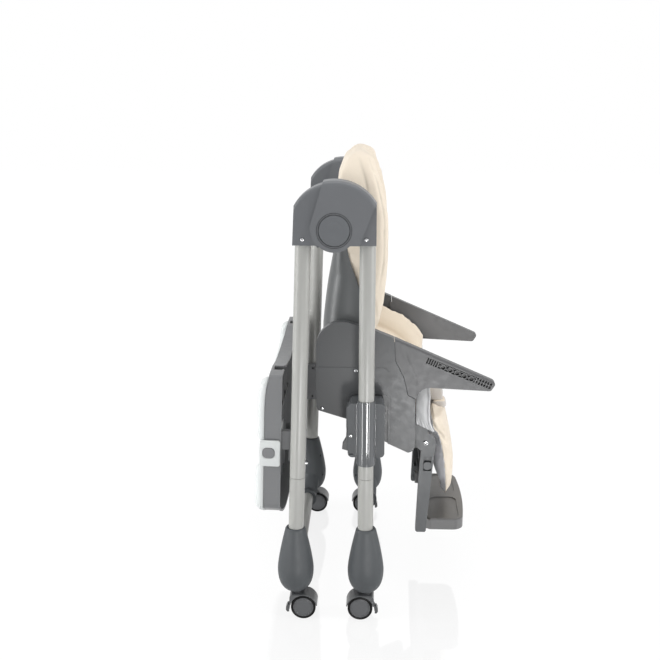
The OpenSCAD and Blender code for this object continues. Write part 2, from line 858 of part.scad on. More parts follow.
// lower half of a plan in Y and Z, smaller by d: the bowed edge and the low corner
function lower_plan(d) =
    let (bow_z = tray_z + tray_bow,
        low = [tray_w / 2 - low_r, bow_z - sqrt(pow(tray_bow - low_r, 2)
            - pow(tray_w / 2 - low_r, 2))],
        low_a = atan2(low[1] - bow_z, low[0]))
    concat([[0, bow_z - tray_bow + d]],
        arc_points([0, bow_z], tray_bow - d, -90, low_a, 12),
        arc_points(low, low_r - d, low_a, 0, 6));

// half the tray's plan: flat tops beside a shallow neck
function tray_half(d) =
    let (mid = tray_neck_z + tray_neck,
        horn_a = asin((tray_top - d - mid) / (tray_neck + d)))
    concat(lower_plan(d), [[tray_w / 2 - d, tray_top - top_r]],
        arc_points([tray_w / 2 - top_r, tray_top - top_r], top_r - d, 0, 90, 4),
        [[(tray_neck + d) * cos(horn_a), tray_top - d]],
        arc_points([0, mid], tray_neck + d, horn_a, -90, 10));

// half the insert's plan: a deeper neck between two round horns
function insert_half(d) =
    let (mid = insert_neck_z + insert_neck,
        fillet_z = mid - sqrt(pow(insert_neck - fillet_r, 2) - pow(horn_in - fillet_r, 2)),
        fillet_a = atan2(fillet_z - mid, horn_in - fillet_r))
    concat(lower_plan(d), [[tray_w / 2 - d, horn_z]],
        arc_points([tray_w / 2 - horn_r, horn_z], horn_r - d, 0, 90, 6),
        [[horn_in + horn_r, horn_z + horn_r - d]],
        arc_points([horn_in + horn_r, horn_z], horn_r - d, 90, 180, 6),
        [[horn_in + d, fillet_z]],
        arc_points([horn_in - fillet_r, fillet_z], fillet_r + d, 0, fillet_a, 6),
        arc_points([0, mid], insert_neck + d, fillet_a, -90, 6));

// the whole outline from its half
module both_halves(points) {
    last = len(points) - 2;
    polygon(concat(points, [for (i = [last:-1:1]) [-points[i][0], points[i][1]]]));
}

// plan of the tray, smaller by d all round
module tray_plan(d) {
    both_halves(tray_half(d));
}

// plan of the insert, which leaves the tray's edge towards the child bare
module insert_plan(d) {
    both_halves(insert_half(d));
}

// draws a plan in Y and Z as a slab between x0 and x1
module tray_slab(x0, x1) {
    translate([x0, 0, 0]) rotate([90, 0, 90]) linear_extrude(x1 - x0) children();
}

// everything behind the tray's face, moved in by d; the face falls away towards the child
module behind_face(d) {
    slab(-260, 260) polygon([[tray_x + d, -80], [tray_x + d, 232], [tray_x + 1.4 + d, 256],
        [tray_x + 3.4 + d, 273], [tray_x + 6.2 + d, 287], [tray_x + 7.6 + d, 302], [0, 302], [0, -80]]);
}

module tray_base() {
    color([0.30, 0.31, 0.32]) leaning() difference() {
        union() {
            difference() {
                intersection() {
                    union() {
                        tray_slab(tray_x - 1, tray_x + tray_h) tray_plan(1.2);
                        tray_slab(tray_x + tray_h - 3.6, tray_x + tray_h) tray_plan(0);
                    }
                    behind_face(0);
                }
                intersection() {
                    tray_slab(tray_x, tray_x + tray_h + 1) tray_plan(1.2 + tray_t);
                    behind_face(tray_t);
                }
            }
            intersection() {
                union() {
                    // guide channels that take the armrest rails
                    for (s = [-1, 1], y = [173, 203]) translate([tray_x - 1, s * y - 1.25, 60])
                        cube([28, 2.5, 206]);
                    for (s = [-1, 1]) translate([tray_x - 1, s * 188 - 16, 60]) cube([28, 32, 2.5]);
                    // stiffening ribs
                    for (y = [-110, -40, 40, 110]) translate([tray_x - 1, y - 1, -25])
                        cube([14, 2, 300]);
                    translate([tray_x - 1, -170, 150]) cube([14, 340, 2]);
                }
                behind_face(1);
            }
            // hanging bars that rest on the storage brackets
            for (s = [-1, 1]) side(s) {
                translate([-37.4, 205, 182.4]) cube([3.4, 37, 16]);
                translate([tray_x + 1, 238, 182.4]) cube([30, 6, 16]);
                translate([tray_x + 1, 204, 182.4]) cube([30, 2.5, 16]);
            }
        }
        // mouths of the channels
        for (s = [-1, 1]) translate([-55, s * 188 - 13.5, 272]) cube([25, 27, 60]);
        // dimples behind the clip buttons
        for (s = [-1, 1]) side(s) translate([-58, 0, 140.6]) rotate([-90, 0, 0])
            translate([0, 0, 242.2]) cylinder(r = 14, h = 5);
    }
}

// the dishwasher insert: a rimmed tray with a clip on each side
module tray_insert() {
    color([0.93, 0.93, 0.92]) leaning() difference() {
        union() {
            intersection() {
                union() {
                    tray_slab(tray_x - 9, tray_x + 5) insert_plan(0.6);
                    tray_slab(tray_x - 12, tray_x + 4) insert_plan(2.2);
                    tray_slab(tray_x - 14, tray_x + 3) insert_plan(5);
                }
                // the face rolls back at both ends
                slab(-260, 260) polygon([[-60, 300], [-68, 300], [-71, 292], [-75.5, 284], [-79, 272],
                    [-81, 252], [-82, 60], [-80.5, 30], [-79, -60], [-60, -60]]);
            }
            for (s = [-1, 1]) side(s) {
                slab(245.4, 249.6) rounded(-76, 113, -35.5, 166.5, 3);
                slab(238, 249.6) rounded(-76, 113, -67.2, 166.5, 3);
            }
        }
        // lies on the tray's face
        intersection() {
            behind_face(-0.2);
            slab(-244.8, 244.8) translate([-70, -70]) square([70, 380]);
        }
        tray_slab(tray_x - 20, tray_x - 4.5) insert_plan(16);
        // waist of the rim at the clips
        for (s = [-1, 1]) side(s) translate([-90, 232, 107]) cube([14, 30, 66]);
        for (s = [-1, 1]) side(s) slab(240, 255) rounded(-70.2, 129.8, -45.8, 151.4, 9);
    }
}

module tray_button() {
    color([0.33, 0.34, 0.35]) leaning() {
        slab(246.6, 250.4) rounded(-69.9, 130.1, -46.1, 151.1, 8.8);
    }
}

// ---------------------------------------------------------------- assembly

// "all" draws the whole chair, a name draws that piece alone

placed() side(1) front_hub_cover();  // front_hub_cover_left
placed() side(-1) front_hub_cover();  // front_hub_cover_right
placed() side(1) rear_hub_cover();  // rear_hub_cover_left
placed() side(-1) rear_hub_cover();  // rear_hub_cover_right
placed() hub_pivot_pins();
placed() side(1) fold_button();  // fold_button_left
placed() side(-1) fold_button();  // fold_button_right
placed() front_hub_screws();
placed() rear_hub_screws();
placed() front_upper_tubes();
placed() front_lower_tubes();
placed() rear_upper_tubes();
placed() rear_lower_tubes();
placed() leg_snap_buttons();
placed() side(1) front_foot();  // front_foot_left
placed() side(-1) front_foot();  // front_foot_right
placed() side(1) rear_foot();  // rear_foot_left
placed() side(-1) rear_foot();  // rear_foot_right
placed() cross_tube(139);  // front_cross_tube
placed() cross_tube(-8);  // rear_cross_tube
placed() side(1) tray_bracket();  // tray_bracket_left
placed() side(-1) tray_bracket();  // tray_bracket_right
placed() castor_at(true, 1) castor_hood();  // castor_hood_front_left
placed() castor_at(true, 1) castor_wheels();  // castor_wheels_front_left
placed() castor_at(true, 1) castor_brake();  // castor_brake_front_left
placed() castor_at(true, -1) castor_hood();  // castor_hood_front_right
placed() castor_at(true, -1) castor_wheels();  // castor_wheels_front_right
placed() castor_at(true, -1) castor_brake();  // castor_brake_front_right
placed() castor_at(false, 1) castor_hood();  // castor_hood_rear_left
placed() castor_at(false, 1) castor_wheels();  // castor_wheels_rear_left
placed() castor_at(false, 1) castor_brake();  // castor_brake_rear_left
placed() castor_at(false, -1) castor_hood();  // castor_hood_rear_right
placed() castor_at(false, -1) castor_wheels();  // castor_wheels_rear_right
placed() castor_at(false, -1) castor_brake();  // castor_brake_rear_right
placed() side(1) side_panel();  // side_panel_left
placed() side(-1) side_panel();  // side_panel_right
placed() side(1) armrest_rail();  // armrest_rail_left
placed() side(-1) armrest_rail();  // armrest_rail_right
placed() side(1) slider_housing();  // slider_housing_left
placed() side(-1) slider_housing();  // slider_housing_right
placed() side(1) height_lever();  // height_lever_left
placed() side(-1) height_lever();  // height_lever_right
placed() seat_shell();
placed() seat_pad();
placed() crotch_strap();
placed() panel_screws();
placed() back_shell();
placed() back_pad();
placed() side(1) footrest_arm();  // footrest_arm_left
placed() side(-1) footrest_arm();  // footrest_arm_right
placed() side(1) footrest_button();  // footrest_button_left
placed() side(-1) footrest_button();  // footrest_button_right
placed() leg_panel();
placed() footplate();
placed() leg_pad();
placed() footrest_screws();
placed() tray_base();
placed() tray_insert();
placed() side(1) tray_button();  // tray_button_left
placed() side(-1) tray_button();  // tray_button_right
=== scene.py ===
import math

import bmesh
import bpy
import numpy as np
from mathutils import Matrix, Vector


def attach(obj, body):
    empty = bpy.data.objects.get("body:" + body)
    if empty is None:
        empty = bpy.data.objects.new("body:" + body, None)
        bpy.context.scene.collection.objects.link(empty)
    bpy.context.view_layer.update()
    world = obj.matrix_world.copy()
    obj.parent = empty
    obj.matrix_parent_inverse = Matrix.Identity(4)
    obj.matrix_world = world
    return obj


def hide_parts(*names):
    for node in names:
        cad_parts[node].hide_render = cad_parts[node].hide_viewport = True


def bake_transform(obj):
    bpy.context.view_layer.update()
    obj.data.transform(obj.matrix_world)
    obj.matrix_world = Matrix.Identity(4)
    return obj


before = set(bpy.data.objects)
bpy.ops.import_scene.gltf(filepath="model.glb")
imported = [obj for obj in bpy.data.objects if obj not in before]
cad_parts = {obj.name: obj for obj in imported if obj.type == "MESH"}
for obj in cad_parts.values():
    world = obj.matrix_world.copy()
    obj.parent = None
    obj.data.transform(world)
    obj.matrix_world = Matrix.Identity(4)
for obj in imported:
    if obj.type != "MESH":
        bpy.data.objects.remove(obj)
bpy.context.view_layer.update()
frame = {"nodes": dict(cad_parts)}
nodes = frame["nodes"]
scene = bpy.context.scene

# ------------------------------------------------------------------ studio
# The folded chair stands on a pale, faintly glossy sweep in a white studio. Two tall soft
# boxes stand left and right of the camera, a broad one hangs above, and three narrow strips
# stand low, for the bright lines on the glossy sliders.

scene.view_settings.view_transform = "Standard"

camera_data = bpy.data.cameras.new("studio_camera")
camera_data.lens, camera_data.sensor_width = 54.545, 36
camera = bpy.data.objects.new("studio_camera", camera_data)
camera.location = (-0.00643, -2.07445, 1.06347)
camera.rotation_euler = (math.radians(75.6175), 0, math.radians(2.5131))
scene.collection.objects.link(camera)
scene.camera = camera


def wire(tree, source, target):
    """Joins an output socket to an input socket of the same node tree."""
    tree.links.new(source, target)


def new_node(tree, kind, **values):
    """Adds a node and sets its named inputs and properties."""
    node = tree.nodes.new(kind)
    for name, value in values.items():
        if name in node.inputs:
            node.inputs[name].default_value = value
        else:
            setattr(node, name, value)
    return node


def ranged(tree, value, low, high, start=0.0, end=1.0, **options):
    """A value carried over from start..end to low..high."""
    node = new_node(tree, "ShaderNodeMapRange", **options)
    for socket, number in zip(("From Min", "From Max", "To Min", "To Max"), (start, end, low, high)):
        node.inputs[socket].default_value = number
    wire(tree, value, node.inputs["Value"])
    return node.outputs[0]


def reckon(tree, operation, *values):
    """A sum, product or other arithmetic on numbers and sockets."""
    node = new_node(tree, "ShaderNodeMath", operation=operation)
    for socket, value in zip(node.inputs, values):
        if isinstance(value, (int, float)):
            socket.default_value = value
        else:
            wire(tree, value, socket)
    return node.outputs[0]


def soft_box(name, place, size, power, aim=(-0.02, 0, 0.5)):
    """A rectangular lamp at a place, turned to face the aim point."""
    data = bpy.data.lights.new(name, "AREA")
    data.shape, data.size, data.size_y, data.energy = "RECTANGLE", size[0], size[1], power
    lamp = bpy.data.objects.new(name, data)
    lamp.location = place
    lamp.rotation_euler = (Vector(aim) - Vector(place)).to_track_quat("-Z", "Y").to_euler()
    lamp.visible_camera = False
    scene.collection.objects.link(lamp)


soft_box("soft_box_left", (-1.95, -0.65, 0.95), (0.7, 1.9), 27)
soft_box("soft_box_right", (1.95, -0.75, 0.95), (0.7, 1.9), 26)
soft_box("soft_box_top", (0.0, -0.2, 2.5), (2.0, 1.4), 19)
soft_box("soft_box_front", (-0.1, -3.2, 1.6), (2.4, 1.6), 15)
for strip, place, size, power in (("strip_left", (-0.62, -0.80, 0.14), (0.10, 0.24), 1.3),
                                  ("strip_front", (0.16, -1.15, 0.11), (0.18, 0.20), 4.8),
                                  ("strip_right", (0.52, -0.95, 0.14), (0.07, 0.24), 1.3)):
    soft_box(strip, place, size, power, (0.04, -0.2, 0.42))
    bpy.data.objects[strip].visible_diffuse = False


def backdrop_rays(tree):
    """The largest of three flags: seen by the camera, in a reflection or through glass."""
    rays = new_node(tree, "ShaderNodeLightPath").outputs
    seen = reckon(tree, "MAXIMUM", rays["Is Camera Ray"], rays["Is Glossy Ray"])
    return reckon(tree, "MAXIMUM", seen, rays["Is Transmission Ray"])


world = bpy.data.worlds.new("white_studio")
scene.world = world
world.use_nodes = True
tree = world.node_tree
tree.nodes.clear()
sky = new_node(tree, "ShaderNodeBackground", Color=(1, 1, 1, 1))
wire(tree, ranged(tree, backdrop_rays(tree), 0.40, 1.0), sky.inputs["Strength"])
wire(tree, sky.outputs[0], new_node(tree, "ShaderNodeOutputWorld").inputs[0])


def grid_mesh(name, points, loop_rows=False, loop_columns=False, cap_first=False, cap_last=False):
    """Quads over a grid of points, rows by columns by xyz. Either direction can close on itself,
    and an end row can be closed with one face."""
    rows, columns = points.shape[:2]
    index = np.arange(rows * columns).reshape(rows, columns)
    caps = ([index[0][::-1].tolist()] if cap_first else []) + ([index[-1].tolist()] if cap_last else [])
    index = np.vstack([index, index[:1]]) if loop_rows else index
    index = np.hstack([index, index[:, :1]]) if loop_columns else index
    quads = np.stack([index[:-1, :-1], index[:-1, 1:], index[1:, 1:], index[1:, :-1]], -1)
    mesh = bpy.data.meshes.new(name)
    mesh.from_pydata(points.reshape(-1, 3), [], quads.reshape(-1, 4).tolist() + caps)
    mesh.validate()
    return mesh


def add_piece(name, mesh, smooth=True):
    """Puts a mesh in the scene with doubles merged and its faces turned outwards."""
    work = bmesh.new()
    work.from_mesh(mesh)
    bmesh.ops.remove_doubles(work, verts=work.verts, dist=1e-6)
    bmesh.ops.recalc_face_normals(work, faces=work.faces)
    work.to_mesh(mesh)
    work.free()
    mesh.polygons.foreach_set("use_smooth", np.full(len(mesh.polygons), smooth))
    piece = bpy.data.objects.new(name, mesh)
    scene.collection.objects.link(piece)
    return piece


# the sweep is a flat square that faces up, and its far part goes over into the white backdrop
reach = np.linspace(-9, 9, 25)
flat_y, flat_x = np.meshgrid(reach, reach, indexing="ij")
floor = bpy.data.objects.new("studio_floor", grid_mesh(
    "studio_floor", np.stack([flat_x, flat_y, 0 * flat_x], -1)))
scene.collection.objects.link(floor)
finish = bpy.data.materials.new("pale_sweep")
finish.use_nodes = True
tree = finish.node_tree
tree.nodes.clear()
where = new_node(tree, "ShaderNodeTexCoord")
distance = new_node(tree, "ShaderNodeVectorMath", operation="LENGTH")
wire(tree, where.outputs["Object"], distance.inputs[0])
away = distance.outputs["Value"]
fade = ranged(tree, away, 0.90, 1.0, 0.7, 2.2, interpolation_type="SMOOTHSTEP")
speckle = new_node(tree, "ShaderNodeTexNoise", Scale=3.0, Detail=2.0)
wire(tree, where.outputs["Object"], speckle.inputs["Vector"])
tint = ranged(tree, speckle.outputs["Fac"], 0.02, 0.04)
paper = new_node(tree, "ShaderNodeBsdfPrincipled", Roughness=0.9)
paper.inputs["Base Color"].default_value = (0.93, 0.93, 0.935, 1)
paper.inputs["Specular IOR Level"].default_value = 0.0
gloss = new_node(tree, "ShaderNodeBsdfGlossy", Color=(1, 1, 1, 1))
wire(tree, tint, gloss.inputs["Roughness"])
white = new_node(tree, "ShaderNodeEmission", Color=(1, 1, 1, 1), Strength=1.03)
backdrop = new_node(tree, "ShaderNodeMixShader")
wire(tree, reckon(tree, "MULTIPLY", backdrop_rays(tree), fade), backdrop.inputs[0])
wire(tree, paper.outputs[0], backdrop.inputs[1])
wire(tree, white.outputs[0], backdrop.inputs[2])
floor_mix = new_node(tree, "ShaderNodeMixShader")
mirror = ranged(tree, away, 1.0, 0.0, 0.5, 1.4, interpolation_type="SMOOTHSTEP")
fresnel = new_node(tree, "ShaderNodeFresnel", IOR=1.46).outputs[0]
wire(tree, reckon(tree, "MULTIPLY", fresnel, mirror), floor_mix.inputs[0])
wire(tree, backdrop.outputs[0], floor_mix.inputs[1])
wire(tree, gloss.outputs[0], floor_mix.inputs[2])
wire(tree, floor_mix.outputs[0], new_node(tree, "ShaderNodeOutputMaterial").inputs[0])
floor.data.materials.append(finish)

# ------------------------------------------------------------------ leg tubes
# Thin round steel tubes, powder coated in a warm pale grey with a satin shine. Each leg is
# an upper tube slipped over the spigot of a lower one, and a cross tube joins each pair of feet.


def at(x, y, z):
    """A point in millimetres from the rear feet's zero, as metres in the shared frame."""
    return (x - 153) / 1000, y / 1000, z / 1000


def drifting(tree, value, drift):
    """A slow noise as a factor from 1 less the drift to 1 plus the drift."""
    node = new_node(tree, "ShaderNodeMapRange")
    node.inputs["From Min"].default_value, node.inputs["From Max"].default_value = 0.3, 0.7
    wire(tree, value, node.inputs["Value"])
    wire(tree, reckon(tree, "SUBTRACT", 1.0, drift), node.inputs["To Min"])
    wire(tree, reckon(tree, "ADD", 1.0, drift), node.inputs["To Max"])
    return node.outputs[0]


def scaled_by(tree, vector, factor):
    """A vector or colour times a number."""
    node = new_node(tree, "ShaderNodeVectorMath", operation="SCALE")
    wire(tree, vector, node.inputs[0])
    wire(tree, factor, node.inputs["Scale"])
    return node.outputs[0]


def field_group(name, inputs, outputs):
    """An empty shader node group with named sockets, for an effect that several finishes share."""
    group = bpy.data.node_groups.new(name, "ShaderNodeTree")
    for socket, kind, value in inputs:
        made = group.interface.new_socket(socket, in_out="INPUT", socket_type=kind)
        made.default_value = value
    for socket, kind in outputs:
        group.interface.new_socket(socket, in_out="OUTPUT", socket_type=kind)
    return group, group.nodes.new("NodeGroupInput"), group.nodes.new("NodeGroupOutput")


# coat: slow drift of tone, fine orange peel, and small changes of roughness
coat_group, given, result = field_group(
    "sprayed_coat",
    [("Tone", "NodeSocketColor", (0.5, 0.5, 0.5, 1)), ("Peel", "NodeSocketFloat", 420.0),
     ("Rough", "NodeSocketFloat", 0.4), ("Drift", "NodeSocketFloat", 0.06)],
    [("Color", "NodeSocketColor"), ("Roughness", "NodeSocketFloat"), ("Height", "NodeSocketFloat")])
where = new_node(coat_group, "ShaderNodeTexCoord")
slow = new_node(coat_group, "ShaderNodeTexNoise", Scale=7.0, Detail=3.0)
fine = new_node(coat_group, "ShaderNodeTexNoise", Detail=2.0)
mid = new_node(coat_group, "ShaderNodeTexNoise", Scale=95.0, Detail=5.0)
for noise in (slow, fine, mid):
    wire(coat_group, where.outputs["Object"], noise.inputs["Vector"])
wire(coat_group, given.outputs["Peel"], fine.inputs["Scale"])
drift = drifting(coat_group, slow.outputs["Fac"], given.outputs["Drift"])
spread = ranged(coat_group, mid.outputs["Fac"], 0.88, 1.14, 0.25, 0.75)
wire(coat_group, scaled_by(coat_group, given.outputs["Tone"], drift), result.inputs["Color"])
wire(coat_group, reckon(coat_group, "MULTIPLY", spread, given.outputs["Rough"]), result.inputs["Roughness"])
wire(coat_group, fine.outputs["Fac"], result.inputs["Height"])


def group_material(name, group, inputs):
    """A material with one node of a shared group: the material, its node tree, its shader's
    inputs and the group node's outputs."""
    material = bpy.data.materials.new(name)
    material.use_nodes = True
    tree = material.node_tree
    node = tree.nodes.new("ShaderNodeGroup")
    node.node_tree = group
    set_inputs(node.inputs, inputs)
    return material, tree, tree.nodes["Principled BSDF"].inputs, node.outputs


def set_inputs(sockets, values):
    """Sets sockets by name; an underscore stands for a space."""
    for socket, value in values.items():
        sockets[socket.replace("_", " ")].default_value = value


def coated(name, tone, peel, rough, drift, bump, depth=0.00002, **shader):
    """A material of the shared coat group with its own tone, grain size, roughness and bump;
    further constants go straight on the shader's sockets."""
    material, tree, body, coat = group_material(
        name, coat_group, {"Tone": (*tone, 1), "Peel": peel, "Rough": rough, "Drift": drift})
    relief = new_node(tree, "ShaderNodeBump", Strength=bump, Distance=depth)
    wire(tree, coat["Color"], body["Base Color"])
    wire(tree, coat["Roughness"], body["Roughness"])
    wire(tree, coat["Height"], relief.inputs["Height"])
    wire(tree, relief.outputs[0], body["Normal"])
    set_inputs(body, shader)
    return material


def dress(names, material, edge=0.0006, steps=2, flat=0.6):
    """Gives CAD nodes a finish, with their doubles welded, flats merged and edges rounded."""
    for name in names:
        node = nodes[name]
        node.data.materials.clear()
        node.data.materials.append(material)
        weld = node.modifiers.new("weld", "WELD")
        weld.merge_threshold = 2e-6
        if flat:
            flats = node.modifiers.new("flats", "DECIMATE")
            flats.decimate_type, flats.angle_limit = "DISSOLVE", math.radians(flat)
        if edge:
            rounding = node.modifiers.new("edges", "BEVEL")
            rounding.width, rounding.segments, rounding.limit_method = edge, steps, "ANGLE"
            rounding.angle_limit, rounding.use_clamp_overlap = math.radians(34), True
            rounding.miter_outer = "MITER_ARC"
        else:
            creases = node.modifiers.new("creases", "EDGE_SPLIT")
            creases.split_angle, creases.use_edge_sharp = math.radians(30), False
        shading = node.modifiers.new("shading", "WEIGHTED_NORMAL")
        shading.weight, shading.keep_sharp = 60, False


tube_coat = coated("tube_coat", (0.370, 0.371, 0.352), 900, 0.34, 0.02, 0.06)
dress(["front_upper_tubes", "front_lower_tubes", "rear_upper_tubes", "rear_lower_tubes"], tube_coat, 0.0004)
dress(["front_cross_tube", "rear_cross_tube"], tube_coat, 0.0004)

# ------------------------------------------------------------------ hubs
# Moulded grey nylon covers with a fine spark-eroded grain. The rear cover turns inside the
# fork of the front one about a steel pin, and a dished button in the middle frees the lock.


def coat_of(material):
    """The colour that the material's coat puts out."""
    return next(n for n in material.node_tree.nodes if n.type == "GROUP").outputs["Color"]


def times_tone(tree, coat, mask, tone):
    """A colour multiplied by a tone as far as the mask goes."""
    node = new_node(tree, "ShaderNodeMix", data_type="RGBA", blend_type="MULTIPLY")
    node.inputs["B"].default_value = (*tone, 1)
    wire(tree, mask, node.inputs["Factor"])
    wire(tree, coat, node.inputs["A"])
    return node.outputs["Result"]


def from_axle(tree, axle_x, axle_z):
    """The distance in metres from an axle that runs across the chair."""
    moved = new_node(tree, "ShaderNodeMapping")
    moved.inputs["Location"].default_value = (-axle_x, 0, -axle_z)
    moved.inputs["Scale"].default_value = (1, 0, 1)
    wire(tree, new_node(tree, "ShaderNodeTexCoord").outputs["Object"], moved.inputs["Vector"])
    node = new_node(tree, "ShaderNodeVectorMath", operation="LENGTH")
    wire(tree, moved.outputs[0], node.inputs[0])
    return node.outputs["Value"]


def base_colour(tree):
    """The shader's colour socket."""
    return tree.nodes["Principled BSDF"].inputs["Base Color"]


hub_plastic = coated("hub_plastic", (0.122, 0.128, 0.137), 1500, 0.40, 0.05, 0.35, Specular_IOR_Level=0.42)
hub_plastic_rear = coated("hub_plastic_rear", (0.115, 0.121, 0.130), 1500, 0.40, 0.05, 0.35,
                          Specular_IOR_Level=0.42)
button_plastic = coated("button_plastic", (0.112, 0.119, 0.128), 1900, 0.36, 0.03, 0.2,
                        Specular_IOR_Level=0.42)
pin_x, pin_height = at(75.1, 0, 0)[0], 0.7877
# painted shade: two thin rings about the pin are darkened to a quarter, in the grooves round the fold button
for plastic in (hub_plastic, hub_plastic_rear):
    tree = plastic.node_tree
    out = from_axle(tree, pin_x, pin_height)
    coat = coat_of(plastic)
    for radius, half_width in ((0.0294, 0.0005), (0.0321, 0.00035)):
        ring = reckon(tree, "COMPARE", out, radius, half_width)
        coat = times_tone(tree, coat, ring, (0.25, 0.25, 0.25))
    wire(tree, coat, base_colour(tree))
dress(["front_hub_cover_left", "front_hub_cover_right"], hub_plastic, 0.0012, 3)
dress(["rear_hub_cover_left", "rear_hub_cover_right"], hub_plastic_rear, 0.0012, 3)
dress(["fold_button_left", "fold_button_right"], button_plastic, 0.0005)

# ------------------------------------------------------------------ bright hardware
# Zinc plated pan-head screws, the hub pins and the nickel plated spring pins of the rear legs.

plated = coated("plated_steel", (0.80, 0.80, 0.81), 600, 0.17, 0.04, 0.08, Metallic=1.0)
dress(["front_hub_screws", "rear_hub_screws", "panel_screws", "footrest_screws", "hub_pivot_pins",
       "leg_snap_buttons"], plated, 0.00025)

# ------------------------------------------------------------------ castors
# Bulb-shaped moulded feet, and twin-wheel furniture castors: a moulded hood over two hard
# wheels with black tyres, and a small foot lever that wedges against them.

foot_plastic = coated("foot_plastic", (0.060, 0.066, 0.071), 1300, 0.52, 0.04, 0.16, Specular_IOR_Level=0.34)
castor_plastic = coated("castor_plastic", (0.080, 0.083, 0.087), 1300, 0.30, 0.05, 0.25)


def wheel_finish(name, axle_x):
    """A grey moulded disc with a black tyre round it: the distance from the axle in X and height
    parts the two."""
    material = coated(name, (0.082, 0.085, 0.090), 1100, 0.32, 0.06, 0.25)
    tree = material.node_tree
    axle_height, disc_radius, tyre_start = 0.025, 0.0201, 0.0204
    tyre = ranged(tree, from_axle(tree, axle_x, axle_height), 0.0, 1.0, disc_radius, tyre_start)
    black = new_node(tree, "ShaderNodeMix", data_type="RGBA")
    black.inputs["B"].default_value = (0.004, 0.004, 0.004, 1)
    wire(tree, tyre, black.inputs["Factor"])
    wire(tree, coat_of(material), black.inputs["A"])
    wire(tree, black.outputs["Result"], base_colour(tree))
    wire(tree, ranged(tree, tyre, 0.5, 0.12), tree.nodes["Principled BSDF"].inputs["Specular IOR Level"])
    return material


dress(["front_foot_left", "front_foot_right", "rear_foot_left", "rear_foot_right"], foot_plastic, 0)
corners = [f"{end}_{side}" for end in ("front", "rear") for side in ("left", "right")]
dress([f"castor_hood_{c}" for c in corners], castor_plastic, 0.0006)
dress([f"castor_brake_{c}" for c in corners], castor_plastic, 0.0005)
for end, axle in (("front", 127.5), ("rear", 13.6)):
    dress([f"castor_wheels_{end}_{s}" for s in ("left", "right")],
          wheel_finish(f"{end}_wheel_plastic", at(axle, 0, 0)[0]), 0.0004)

# ------------------------------------------------------------------ seat frame
# Two moulded side plates that run out into the armrests, on height sliders that grip the
# front legs, with the sitting pan between them.


def rows_of(items, what):
    """A vector property of vertices or faces, as rows of three."""
    found = np.empty(len(items) * 3)
    items.foreach_get(what, found)
    return found.reshape(-1, 3)


# painted shade: the side panels, and the height levers with them, get a darker grey than the rail and the
# pan, for the shade the panels stand in
panel_plastic = coated("panel_plastic", (0.064, 0.067, 0.070), 1500, 0.38, 0.04, 0.35,
                       Specular_IOR_Level=0.40)
rail_plastic = coated("rail_plastic", (0.092, 0.093, 0.096), 1500, 0.42, 0.04, 0.30, Specular_IOR_Level=0.42)
# painted shade: the recessed pockets of the ratchet band along the rail are darkened to a tenth of the rail's
# grey, where shade falls in them
tree = rail_plastic.node_tree
in_band = new_node(tree, "ShaderNodeMapping", vector_type="TEXTURE")
in_band.inputs["Location"].default_value = at(252.9, 0, 522.7)
in_band.inputs["Rotation"].default_value = (0, math.radians(22.1), 0)
wire(tree, new_node(tree, "ShaderNodeTexCoord").outputs["Object"], in_band.inputs["Vector"])
place = new_node(tree, "ShaderNodeSeparateXYZ")
wire(tree, in_band.outputs[0], place.inputs[0])
off_face = reckon(tree, "ABSOLUTE", place.outputs["Y"])
pocket_shade = None
for value, middle, spread in ((place.outputs["X"], 0.0685, 0.0695), (place.outputs["Z"], 0.0002, 0.0068),
                              (off_face, 0.198 - 0.0031, 0.0024)):
    inside = reckon(tree, "COMPARE", value, middle, spread)
    pocket_shade = reckon(tree, "MULTIPLY", pocket_shade, inside) if pocket_shade else inside
wire(tree, times_tone(tree, coat_of(rail_plastic), pocket_shade, (0.10, 0.10, 0.10)), base_colour(tree))
slider_plastic = coated("slider_plastic", (0.110, 0.116, 0.122), 500, 0.07, 0.03, 0.05)
pan_plastic = coated("pan_plastic", (0.090, 0.094, 0.098), 1500, 0.46, 0.05, 0.35)
for s in ("left", "right"):
    dress([f"side_panel_{s}"], panel_plastic, 0.0018, 3)
    dress([f"armrest_rail_{s}"], rail_plastic, 0, flat=0)
    dress([f"slider_housing_{s}"], slider_plastic, 0.0010, 3)
    dress([f"height_lever_{s}"], panel_plastic, 0.0008)

# the pan's front lip lies further back than the solid's, under the cover that is pulled over it,
# and the skin is cut into strips near both sides first
lip = nodes["seat_shell"].data.copy()
cut = bmesh.new()
cut.from_mesh(lip)
bmesh.ops.remove_doubles(cut, verts=cut.verts, dist=2e-6)
for y in (-174, -167, -159, -150, -140, -130, 130, 140, 150, 159, 167, 174):
    bmesh.ops.bisect_plane(cut, geom=cut.verts[:] + cut.edges[:] + cut.faces[:],
                           plane_co=(0, y / 1000, 0), plane_no=(0, 1, 0))
cut.to_mesh(lip)
cut.free()
spots = rows_of(lip.vertices, "co")
spots[:, 0] -= 0.0225 * np.clip((spots[:, 0] - at(180, 0, 0)[0]) / 0.1, 0, 1)
lip.vertices.foreach_set("co", spots.ravel())
seat_pan = bpy.data.objects.new("seat_pan", lip)
scene.collection.objects.link(seat_pan)
nodes["seat_pan"] = seat_pan
dress(["seat_pan"], pan_plastic, 0.0012, 3)
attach(seat_pan, "seat")
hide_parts("seat_shell")

# ------------------------------------------------------------------ footrest
# Two arms, a rear panel and a plate with two shallow wells, all moulded. The plate's faces that
# look up are tinted a warmer, darker grey.


def facing_up(tree):
    """How far the surface faces up, from -1 to 1."""
    node = new_node(tree, "ShaderNodeSeparateXYZ")
    wire(tree, new_node(tree, "ShaderNodeTexCoord").outputs["Normal"], node.inputs[0])
    return node.outputs["Z"]


